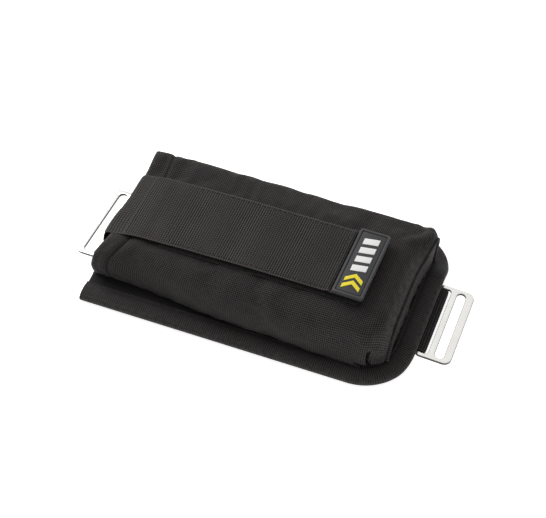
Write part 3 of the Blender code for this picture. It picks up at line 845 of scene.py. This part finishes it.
def relief(x, y, z):
    """How far the cover's outer face stands out of its plain form at a point of it."""
    past_seam = x - MOUTH_X - HEM
    hem = HEM_PUFF * sin(pi * min(max((x - MOUTH_X) / HEM, 0), 1)) ** 0.6
    seam = -SEAM_DEPTH * bell(past_seam, 0.6 * MM)
    after = 0.25 * MM * smooth(past_seam, 2.5 * MM) * (1 - smooth(past_seam, 22 * MM))
    under_strap = smooth(HALF_WEB + 2 * MM - abs(y), 4 * MM) if z > 26 * MM else 0.0
    puff = (hem + after) * (1 - under_strap) + hem * 0.12 * under_strap
    soft = waver(x * 34, y * 42, z * 42) * 0.55 * MM
    soft += waver(x * 95 + 9, y * 95, z * 110) * 0.2 * MM
    crease = waver(x * 70, y * 480, z * 480) * 0.22 * MM
    soft += crease * bell(past_seam + 0.4 * HEM, 0.45 * HEM) * smooth(abs(y) - HALF_WEB, 8 * MM)
    soft *= 1 - 0.8 * under_strap
    end_gather = 0.22 * MM * sin(y * 900 + z * 500) * bell(x - END_X + 2 * MM, 4 * MM)
    return puff + seam + soft + end_gather - tuck(x, y, z)


def make_cover():
    """The pouch's cloth: the facing inside the mouth, its folded lip, and the stuffed wrap."""
    stations = cover_stations()
    rows = np.array([pouch_row(x, depth) for x, depth in stations])
    known_x, known_columns, moves = stuffed()
    outer = [i for i, (x, depth) in enumerate(stations) if depth == 0]
    by_row = cubic_rows([stations[i][0] for i in outer], known_x)
    by_column = cubic_rows(list(range(rows.shape[1])), known_columns)
    rows[outer] += np.einsum("ri,ijk,cj->rck", by_row, moves, by_column)
    out = np.cross(np.gradient(rows, axis=0), np.gradient(rows, axis=1))
    out /= np.maximum(np.linalg.norm(out, axis=2, keepdims=True), 1e-12)
    for i, (x, depth) in enumerate(stations):
        for j in range(1, rows.shape[1] - 1):
            rows[i][j] += out[i][j] * relief(x, *rows[i][j][1:]) * (1 - depth / (2 * LIP))

    def wear_and_painted_shade(i, j):
        x, depth = stations[i]
        y, z = rows[i][j][1:]
        lip = 0.9 * (x < MOUTH_X + 2.2 * MM)
        ridge = 0.75 * bell(y - BACK_Y + 1.5 * MM, 3 * MM) * (z > 28 * MM)
        roll = 0.5 * bell(x - END_X + 3 * MM, 3.5 * MM)
        # Painted shade: sewn darkens the hem seam's groove, foot the cloth at the front foot under
        # the bulge, and the tuck's folds are darkened too.
        sewn = 0.85 * bell(x - MOUTH_X - HEM, 0.6 * MM) * (depth == 0)
        foot = 0.8 * (j < 2) + 0.4 * (j == 2)
        dark = max(sewn, foot, tuck(x, y, z) / (3 * MM))
        return -min(dark, 1) if dark > 0.15 else min(max(lip, ridge, roll), 1)

    cover = loft("pouch_cover", rows, wear_and_painted_shade=wear_and_painted_shade)
    finished(cover, SUBSURF=ROUNDER,
             SOLIDIFY={"thickness": CLOTH, "offset": -1.0, "use_even_offset": False})
    settle(cover, CORDURA, "root", ("pouch_shell", "mouth_hem"))
    seam_row = min(range(len(rows)),
                   key=lambda i: abs(stations[i][0] - MOUTH_X - HEM) + stations[i][1] * 100)
    sew("hem_stitches", [rows[seam_row][4:-6]], pouch_out)


def pouch_out(place):
    """Roughly the way out of the pouch at a point on it."""
    x, y, z = place
    if z > 27 * MM and abs(y) < HALF_WEB + 6 * MM:
        return UP
    return Vector((0, y - copysign(HALF_WEB, y) * 0.6, z - 13 * MM)).normalized()


def make_end_wall():
    """The closed end's wall, a little domed."""
    outline = drawn_in(pouch_section(END_X), END_X)
    foot = steps_between(outline[0][0], outline[-1][0], 4 * MM)[-2:0:-1]
    outline += [(y, seat(END_X, y)) for y in foot]
    center_y, center_z = 1 * MM, 17 * MM
    rows = []
    for k in range(9):
        share = 1 - k / 8 * 0.96
        x = END_X + 0.4 * MM + 1.3 * MM * (1 - share**2)
        rows.append([slumped(x + 0.25 * MM * waver(y * 70, z * 70, k) * (1 - share),
                             center_y + (y - center_y) * share, center_z + (z - center_z) * share)
                     for y, z in outline])
    wall = loft("end_wall", rows, (-1,))
    if sum(face.normal.x for face in wall.data.polygons) < 0:
        wall.data.flip_normals()
    for corner, place in zip(wall.data.loops, wall.data.uv_layers[0].data):
        place.uv = wall.data.vertices[corner.vertex_index].co.yz / MM
    finished(wall, SOLIDIFY={"thickness": CLOTH, "offset": -1.0}, SUBSURF=ROUNDER)
    settle(wall, CORDURA, "root", ("pouch_end_panel",))


def make_piping():
    """The taped cord over the seam between the wrap and the end wall, and the seam's stitches."""
    section = np.array(drawn_in(pouch_section(END_X), END_X))
    ahead = np.gradient(section, axis=0)
    ahead /= np.linalg.norm(ahead, axis=1)[:, None]
    out = np.stack([-ahead[:, 1], ahead[:, 0]], axis=1)
    route = [slumped(END_X + PIPING * 0.7, y, z) for y, z in section + out * PIPING * 0.55]
    stops = steps_between(0.5 * MM, length_of(route) - 0.5 * MM, 1.0 * MM)
    rows = []
    for place, direction in zip(*walk(route, stops)):
        side = Vector((1, 0, 0))
        up = Vector(direction).cross(side).normalized()
        rows.append([Vector(place) + (side * cos(pi * k / 5) + up * sin(pi * k / 5)) * PIPING
                     for k in range(10)])
    piping = loft("end_piping_cord", rows, ENDS, lambda i, j: 0.6)
    settle(finished(piping), TAPE, "root", ("end_piping",))
    sew("end_seam_stitches", [pouch_row(END_X - 2.6 * MM)[6:-6]], pouch_out)


def strap_rise(x):
    full = GAP + HOOK + GAP + LOOP
    return full * smooth(x - PATCH_START + PATCH_RAMP, PATCH_RAMP)


def strap_middle(x):
    return crown(x) + GAP + WEB / 2 + strap_rise(x)


def bend_center():
    """Centre of the strap's top bend, which clears the mouth's upper lip inside it."""
    lip_z = crown(MOUTH_X) - MOUTH_ROUND
    lip_x = MOUTH_X + mouth_lean(lip_z)
    reach = BEND_RADIUS - WEB / 2 - 2 * GAP
    rise = lip_z - (strap_middle(MOUTH_X) - BEND_RADIUS)
    x = lip_x + sqrt(reach**2 - rise**2)
    return (x, strap_middle(x) - BEND_RADIUS)


def strap_route():
    """Middle layer of the closing strap, (x, z): sewn foot, over the mouth, along the top."""
    foot_x = -HALF_LENGTH + ANCHOR_MARGIN + WEB / 2
    foot_z = PANEL_TOP + GAP + WEB / 2
    route = [(foot_x + ANCHOR_LENGTH, foot_z)]
    route += arc((foot_x + FOOT_ROUND, foot_z + FOOT_ROUND), FOOT_ROUND, 270, 185, 8)
    route += arc(bend_center(), BEND_RADIUS, 172, 90, 14)
    route += [(x, strap_middle(x))
              for x in steps_between(bend_center()[0], STRAP_TIP - 0.6 * MM, 2 * MM)[1:]]
    return route


def webbing(name, route, start, end, width=WEB_WIDTH, thick=WEB, rib=RIB, rib_height=RIB_HEIGHT,
            lift=lambda x, y: 0.0):
    """A woven band along a route (x, z) from one distance to another, real ribs on both faces."""
    stops = steps_between(start, end, rib / 5)
    points, along = walk(route, stops)
    shares = [sin(pi / 2 * (i / 9)) for i in range(-9, 10)]
    rows = []
    for (x, z), (ax, az), s in zip(points, along, stops):
        phase = 2 * pi * s / rib
        crest = rib_height * (0.5 + 0.5 * sin(phase)) ** 0.75
        top, bottom = [], []
        for share in shares:
            y = share * (width / 2 + 0.12 * MM * sin(phase))
            body = (1 - abs(share) ** 14) ** 0.5
            selvedge = 0.5 if abs(share) > 0.955 else 1.0
            up = (thick / 2 - rib_height / 2 + crest * selvedge) * body
            down = (thick / 2 - rib_height / 2 + (rib_height - crest) * selvedge) * body
            wave = lift(x, y)
            top.append((x - az * (up + wave), y, z + ax * (up + wave)))
            bottom.append((x + az * (down - wave), y, z - ax * (down - wave)))
        rows.append(top + bottom[-2:0:-1])
    edge = {0, 1, 17, 18, 19, 35}
    return finished(loft(name, rows, ENDS, lambda i, j: 0.9 if j in edge else 0.0))


def strap_lift(x, y):
    """The closed strap's slight unevenness: its front edge curls up a little."""
    curl = 0.45 * MM * smooth(-y - 16 * MM, 9 * MM) * smooth(x + 60 * MM, 20 * MM)
    early = (strap_rise(STRAP_TIP) - strap_rise(x)) * smooth(x + 99 * MM, 25 * MM)
    near_tab = STRAP_TIP - TAB_LENGTH - x
    fold = 0.6 * MM * smooth(near_tab - 1.2 * MM, 0.7 * MM) * smooth(5.0 * MM - near_tab, 0.7 * MM)
    return early + curl + fold + 0.28 * MM * waver(x * 28, y * 24, 7)


def skew(piece):
    """Turns a piece of the strap a little, as it lies, and bulges its bend out at the front."""
    for vertex in piece.data.vertices:
        x, y, z = vertex.co
        bend = smooth(-84 * MM - x, 10 * MM) * smooth(z - 12 * MM, 14 * MM)
        vertex.co.x = x - 3.0 * MM * bend * smooth(-y + 6 * MM, 28 * MM)
        vertex.co.z = z - 1.4 * MM * bend * smooth(-y - 8 * MM, 16 * MM)
    piece.data.transform(strap_turn())
    return piece


def strap_turn():
    pivot = Matrix.Translation((-98 * MM, 0, 0))
    return pivot @ Matrix.Rotation(STRAP_TURN, 4, "Z") @ pivot.inverted()


def make_strap():
    """The closing strap in three lengths, cut end to end along its route."""
    route = strap_route()
    center_x, center_z = bend_center()
    before_bend = length_of([(x, z) for x, z in route
                             if x < center_x - BEND_RADIUS * 0.9 or z < 20 * MM])
    riser_cut = round(before_bend * 0.8 / RIB - 0.25) * RIB + 0.75 * RIB
    bend_end = length_of([(x, z) for x, z in route if x <= center_x + 1e-6 or z < 20 * MM])
    top_cut = round((bend_end + 6 * MM) / RIB) * RIB + 0.75 * RIB
    foot = Vector((-HALF_LENGTH + ANCHOR_MARGIN, 0, PANEL_TOP + GAP + WEB))
    bend = ((center_x - BEND_RADIUS, 0, center_z - 0.5 * MM),
            (center_x + 0.5 * MM, 0, center_z + BEND_RADIUS))
    low = skew(webbing("strap_foot", route, 0.25 * MM, riser_cut))
    settle(low, WEBBING, None, ("strap_anchor",),
           ("root", "riser", foot, foot + UP * 4 * MM))
    middle = skew(webbing("strap_bend", route, riser_cut, top_cut, lift=strap_lift))
    settle(middle, WEBBING, None, ("strap_riser",), ("riser", "strap", *bend))
    end = length_of(route) - 0.05 * MM
    top = skew(webbing("strap_top", route, top_cut, end, lift=strap_lift))
    settle(top, WEBBING, None, ("strap_inner", "strap_outer"), STRAP_FOLD)


def make_hook_patch():
    """The hook half under the strap, and the stitching that holds it and the tab."""
    patch = [(x, strap_middle(x) - WEB / 2 - HOOK / 2 - 0.1 * MM)
             for x in steps_between(PATCH_START, PATCH_END, 3 * MM)]
    hooks = webbing("hook_patch", patch, 0, length_of(patch), 48.5 * MM, HOOK, 1.1 * MM, 0.12 * MM)
    settle(skew(hooks), HOOKS, None, ("hook_patch_inner", "hook_patch_outer"),
           STRAP_FOLD)
    tab_edge = STRAP_TIP - TAB_LENGTH
    lines = [[(x, y) for y in steps_between(-23.5 * MM, 23.5 * MM, 3 * MM)]
             for x in (tab_edge - 1.7 * MM, tab_edge - 3.9 * MM, PATCH_START + 2 * MM)]
    lines += [[(x, y) for x in steps_between(PATCH_START + 3 * MM, tab_edge - 5 * MM, 3 * MM)]
              for y in (-23.2 * MM, 23.2 * MM)]
    rows = [[strap_turn() @ Vector((x, y, strap_middle(x) + WEB / 2 + strap_lift(x, y) + 0.05 * MM))
             for x, y in line] for line in lines]
    sew("strap_stitches", rows, lambda place: UP, None, STRAP_FOLD)


def make_loop_patch():
    """The soft half of the hook and loop, sewn to the pouch's top, wider than the strap."""
    patch = [(x, crown(x) + GAP + LOOP / 2 - 0.1 * MM)
             for x in steps_between(PATCH_START - 3 * MM, PATCH_END, 2 * MM)]
    pile = webbing("loop_pile", patch, 0, length_of(patch), 52.6 * MM, LOOP + 0.3 * MM, 2.3 * MM,
                   0.1 * MM, lambda x, y: 0.25 * MM * waver(x * 300, y * 300, 5)
                   * smooth(abs(y) - 24 * MM, MM))
    settle(skew(pile), PILE, "root", ("loop_patch",))


def sink(piece, inset, drop):
    """In edit mode, insets the largest face that looks up and lowers what is inside."""
    bpy.ops.mesh.select_mode(type="FACE")
    bpy.ops.mesh.select_all(action="DESELECT")
    bpy.ops.object.mode_set(mode="OBJECT")
    upward = [face for face in piece.data.polygons if face.normal.z > 0.99]
    max(upward, key=lambda face: face.area).select = True
    bpy.ops.object.mode_set(mode="EDIT")
    bpy.ops.mesh.inset(thickness=inset)
    if drop:
        bpy.ops.transform.translate(value=(0, 0, -drop))


def on_tab(piece):
    """Moves a piece made flat round the origin onto the tab's place, tilted like the strap."""
    middle = STRAP_TIP - TAB_LENGTH / 2
    rise = strap_middle(STRAP_TIP) - strap_middle(STRAP_TIP - TAB_LENGTH)
    tilt = Matrix.Rotation(-atan2(rise, TAB_LENGTH), 4, "Y")
    height = strap_middle(middle) + WEB / 2 + GAP + TAB / 2
    piece.data.transform(Matrix.Translation((middle, 0, height)) @ tilt)
    skew(piece)


def make_tab():
    """The moulded pull tab: a body, a rim, a groove inside it, and a panel with raised signs."""
    top = TAB / 2
    chevrons = [chevron(-21.5 * MM), chevron(-16.2 * MM)]
    bars = [slanted_bar(-7.6 * MM + 7.1 * MM * i) for i in range(4)]
    for name, outlines, low, height, rounding, finish in (
            ("body", [tab_outline(0)], -top, TAB - 0.45 * MM, 0.5 * MM, RUBBER),
            ("rim", [tab_outline(0.25 * MM), tab_outline(1.7 * MM)], top - 0.9 * MM, 0.9 * MM,
             0.3 * MM, RUBBER_RIM),
            ("groove", [tab_outline(1.3 * MM)], top - 0.9 * MM, 0.5 * MM, 0.05 * MM, RUBBER_BLACK),
            ("panel", [tab_outline(2.3 * MM)], top - 0.8 * MM, 0.6 * MM, 0.12 * MM, RUBBER),
            ("chevrons", chevrons, top - 0.3 * MM, 0.5 * MM, 0.12 * MM, YELLOW),
            ("grip_bars", bars, top - 0.3 * MM, 0.5 * MM, 0.12 * MM, WHITE)):
        piece = flat_plate("tab_" + name, outlines, height, rounding)
        piece.data.transform(Matrix.Translation((0, 0, low + height / 2)))
        on_tab(finished(piece))
        settle(piece, finish, "strap_end", ("pull_tab",) if name == "body" else ())


def tab_outline(inset):
    """The tab's rounded outline, so far in from its edge."""
    half_x, half_y = TAB_LENGTH / 2 - inset, TAB_WIDTH / 2 - inset
    corner = max(1.6 * MM - inset * 0.6, 0.4 * MM)
    points = []
    for x, y, start in ((1, 1, 0), (-1, 1, 90), (-1, -1, 180), (1, -1, 270)):
        points += arc((x * (half_x - corner), y * (half_y - corner)), corner, start, start + 90, 6)
    return points


def chevron(y):
    """A V across the tab that points along it, from its outer foot round."""
    half, rise, stroke = 5.6 * MM, 4.2 * MM, 3.0 * MM
    lower = [(-half, y), (0, y + rise), (half, y)]
    return lower + [(x, z + stroke) for x, z in lower[::-1]]


def slanted_bar(y):
    half, slant, stroke = 4.7 * MM, 1.6 * MM, 4.6 * MM
    return [(-half, y), (half, y + slant), (half, y + slant + stroke), (-half, y + stroke)]


def flat_plate(name, outlines, thickness, rounding, segments=2):
    """A plate centred on z = 0 with rounded edges; outlines after the first are cut out."""
    curve = bpy.data.curves.new(name, "CURVE")
    curve.dimensions = "2D"
    curve.fill_mode = "BOTH"
    curve.extrude = thickness / 2 - rounding
    curve.bevel_depth = rounding
    curve.bevel_resolution = segments
    curve.offset = -rounding
    for points in outlines:
        spline = curve.splines.new("POLY")
        spline.points.add(len(points) - 1)
        for point, (x, y) in zip(spline.points, points):
            point.co = (x, y, 0, 1)
        spline.use_cyclic_u = True
    pick(object_of(name, curve))
    bpy.ops.object.convert(target="MESH")
    piece = bpy.context.object
    bpy.ops.object.mode_set(mode="EDIT")
    bpy.ops.mesh.select_all(action="SELECT")
    bpy.ops.mesh.remove_doubles(threshold=1e-6)
    bpy.ops.mesh.normals_make_consistent(inside=False)
    bpy.ops.object.mode_set(mode="OBJECT")
    return piece


def stadium(low, high, half_length):
    radius = (high - low) / 2
    middle = (high + low) / 2
    return (arc((middle, half_length - radius), radius, 0, 180, 14)
            + arc((middle, -half_length + radius), radius, 180, 360, 14))


def slide_outlines():
    """The plate from X = 0 at its inner edge, and its two slots."""
    width = sum(SLIDE_BARS) + sum(SLIDE_SLOTS)
    half = SLIDE_LENGTH / 2
    corner = SLIDE_CORNER
    plate = []
    for x, y, start in ((width, half, 0), (0, half, 90), (0, -half, 180), (width, -half, 270)):
        center = (x + (corner if x == 0 else -corner), y - copysign(corner, y))
        plate += arc(center, corner, start, start + 90, 10)
    first = SLIDE_BARS[0]
    second = first + SLIDE_SLOTS[0] + SLIDE_BARS[1]
    return [plate] + [stadium(low, low + wide, SLOT_LENGTH / 2)
                      for low, wide in zip((first, second), SLIDE_SLOTS)]


def end_place(side):
    """Turns a piece made at the right end to its drooping place, for side -1 round to the left."""
    hinge = Matrix.Translation((HINGE_X, 0, HINGE_Z))
    turn = Matrix.Rotation(END_TURN if side < 0 else 0, 4, "Z")
    tilt = hinge @ turn @ Matrix.Rotation(SLIDE_TILT, 4, "Y") @ hinge.inverted()
    return (Matrix.Rotation(pi, 4, "Z") if side < 0 else Matrix.Identity(4)) @ tilt


def make_end(side, name, tuck):
    """A three-bar slide and the webbing loop round its inner bar that holds it."""
    inner = HALF_LENGTH - tuck
    slide = flat_plate(name + "_slide_plate", slide_outlines(), PLATE, PLATE_ROUND, 3)
    slide.data.transform(Matrix.Translation((inner, 0, PLATE_LOW + PLATE / 2)))
    finished(slide)
    # Painted reflection: marks the plate's cut edges, which the steel finish colours near black.
    cut = slide.data.attributes.new("wear_and_painted_shade", "FLOAT", "POINT")
    for vertex in slide.data.vertices:
        depth = abs(vertex.co.z - PLATE_LOW - PLATE / 2)
        cut.data[vertex.index].value = smooth(PLATE / 2 - depth, 0.2 * MM)
    slide.data.transform(end_place(side))
    settle(slide, STEEL, name + "_end", (name + "_slide",))

    high = STRIP_LOW + WEB / 2
    low = LOOP_LOW + WEB / 2
    tail_z = STRIP_LOW - WEB / 2
    turn = inner + SLIDE_BARS[0] + 0.4 * MM
    tail = inner - 1 * MM - TAIL_START
    route = [(inner - 4.5 * MM, high), (inner - 0.3 * MM, high)]
    route += arc((turn, (high + low) / 2), (high - low) / 2, 90, -90, 12)
    route += [(inner + 1 * MM, low), (inner - 0.6 * MM, low + 0.7 * MM), (inner - 2.2 * MM, tail_z),
              (tail, tail_z)]
    loop = webbing(name + "_loop_webbing", route, 0, length_of(route), rib_height=0.12 * MM)
    loop.data.transform(end_place(side))
    bend = ((side * (inner - 1.5 * MM), 0, 0), (side * (HINGE_X + 1.2 * MM), 0, 0))
    settle(loop, WEBBING_DARK, None, (name + "_loop", name + "_webbing_tail"),
           ("root", name + "_end", *bend))


def make_strip():
    """The webbing strip under the panel, and the stitching that shows on it."""
    left = -(HALF_LENGTH - LEFT_TUCK) + 4.6 * MM
    right = HALF_LENGTH - BAR_TUCK - 4.6 * MM
    route = [(x, STRIP_LOW + WEB / 2) for x in (left, 0, right)]
    strip = webbing("back_strip", route, 0, right - left, rib_height=0.12 * MM)
    settle(strip, WEBBING_DARK, "root", ("back_webbing",))
    low = STRIP_LOW - THREAD * 0.3
    rows = []
    for y in (-22.5 * MM, 22.5 * MM):
        rows.append([(x, y, low) for x in steps_between(left + 15 * MM, right - 15 * MM, 5 * MM)])
    for x in (left + 16 * MM, right - 16 * MM, -2 * MM, 2 * MM):
        rows.append([(x, y, low) for y in steps_between(-22 * MM, 22 * MM, 4 * MM)])
    sew("strip_stitches", rows, lambda place: -UP, "root", None)


def make_weights():
    """Cast block weights: rounded, with a shallow panel in the top, clear of the slumped end."""
    for number in (1, 2, 3):
        node = "lead_weight_%d" % number
        low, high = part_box(node)
        high = Vector((min(high.x, MIDDLE_X + END_X - 6.5 * MM), high.y, high.z))
        bpy.ops.object.select_all(action="DESELECT")
        bpy.ops.mesh.primitive_cube_add(size=1, scale=high - low)
        piece = bpy.context.object
        piece.name = "lead_block_%d" % number
        bpy.ops.object.transform_apply(scale=True)
        bpy.ops.object.mode_set(mode="EDIT")
        bpy.ops.mesh.select_all(action="SELECT")
        bpy.ops.mesh.bevel(offset=3.4 * MM, segments=5)
        sink(piece, 3 * MM, 0)
        sink(piece, 0.8 * MM, 0.9 * MM)
        bpy.ops.object.mode_set(mode="OBJECT")
        finished(piece, SUBSURF=ROUNDER)
        piece.data.transform(Matrix.Translation((low + high) / 2 - Vector((MIDDLE_X, 0, 0))))
        settle(piece, LEAD, "weights", (node,))


def make_floor():
    bpy.ops.object.select_all(action="DESELECT")
    bpy.ops.mesh.primitive_plane_add(size=6)
    floor = bpy.context.object
    floor.name = "floor"
    floor.data.materials.append(paper_finish())


def make_studio():
    world = bpy.data.worlds.new("studio_white")
    world.use_nodes = True
    background = world.node_tree.nodes["Background"]
    background.inputs["Color"].default_value = (1, 1, 1, 1)
    background.inputs["Strength"].default_value = 0.34
    bpy.context.scene.world = world
    for name, place, size, power in (("softbox_left", (-0.82, 0.3, 0.6), 0.7, 7.5),
                                     ("softbox_back", (-0.27, 0.75, 1.0), 1.5, 6),
                                     ("fill_front", (0.7, -0.9, 0.7), 0.8, 2)):
        light = bpy.data.lights.new(name, "AREA")
        light.size = size
        light.energy = power
        lamp = object_of(name, light)
        lamp.location = place
        aim = Vector((0, 0, 0.02)) - Vector(place)
        lamp.rotation_euler = aim.to_track_quat("-Z", "Y").to_euler()
    bpy.context.scene.view_settings.view_transform = "Standard"


def make_camera():
    azimuth, elevation, roll = radians(21.24), radians(51.93), radians(-0.48)
    back = Vector((sin(azimuth) * cos(elevation), -cos(azimuth) * cos(elevation), sin(elevation)))
    level = Vector((cos(azimuth), sin(azimuth), 0))
    upright = back.cross(level)
    right = level * cos(roll) + upright * sin(roll)
    up = upright * cos(roll) - level * sin(roll)
    camera = object_of("camera", bpy.data.cameras.new("camera"))
    camera.data.lens = 105
    camera.data.clip_start = 0.01
    camera.matrix_world = Matrix((right, up, back)).transposed().to_4x4()
    place = Vector((0.2205 + MIDDLE_X, -0.5628, 0.7903))
    camera.location = place - right * 0.6 * MM - up * 1.55 * MM
    bpy.context.scene.camera = camera


STITCH_SHAPE = stitch_shape()
STRAP_FOLD = ("strap", "strap_end", (STRAP_SPLIT, 0, 0.038), (STRAP_SPLIT + 16 * MM, 0, 0.038))
CORDURA = cloth_finish("black_coated_nylon", (0.001, 0.0008, 0.0008), (0.056, 0.049, 0.047))
# Painted shade: a darker copy of the pouch's nylon for the panel, which lies in the pouch's shade.
PANEL_CLOTH_PAINTED_SHADE = cloth_finish("black_panel_nylon_painted_shade", (0.0008, 0.0006, 0.0006), (0.032, 0.028, 0.027))
TAPE = tape_finish("black_ribbed_tape", (0.0008, 0.0006, 0.0006), (0.040, 0.035, 0.034))
WEBBING = webbing_finish("black_ribbed_webbing", (0.001, 0.0009, 0.0009), (0.070, 0.061, 0.057))
WEBBING_DARK = webbing_finish("black_plain_webbing", (0.0015, 0.0013, 0.0013),
                              (0.045, 0.041, 0.040))
HOOKS = pile_finish("black_hooks", (0.002, 0.002, 0.002), (0.014, 0.014, 0.014), 2600)
PILE = pile_finish("black_loop_pile", (0.006, 0.006, 0.006), (0.045, 0.044, 0.044), 1500)
THREAD_BLACK = thread_finish("black_thread", (0.006, 0.006, 0.006), (0.03, 0.03, 0.03))
STEEL = steel_finish()
RUBBER = moulded_finish("grey_soft_moulding", (0.018, 0.018, 0.020), (0.042, 0.042, 0.046), 0.5)
RUBBER_RIM = moulded_finish("grey_moulded_rim", (0.030, 0.030, 0.033), (0.060, 0.060, 0.065), 0.45)
RUBBER_BLACK = moulded_finish("black_soft_moulding", (0.004, 0.004, 0.004),
                              (0.010, 0.010, 0.010), 0.6)
YELLOW = moulded_finish("yellow_soft_moulding", (0.80, 0.66, 0.010), (0.95, 0.82, 0.03), 0.45, 0.15)
WHITE = moulded_finish("white_soft_moulding", (0.80, 0.80, 0.78), (0.93, 0.93, 0.92), 0.45, 0.15)
LEAD = lead_finish()

make_camera()
make_studio()
make_floor()
make_pad()
make_binding()
make_strip()
make_cover()
make_end_wall()
make_piping()
make_loop_patch()
make_strap()
make_hook_patch()
make_tab()
make_end(1, "right", BAR_TUCK)
make_end(-1, "left", LEFT_TUCK)
make_weights()
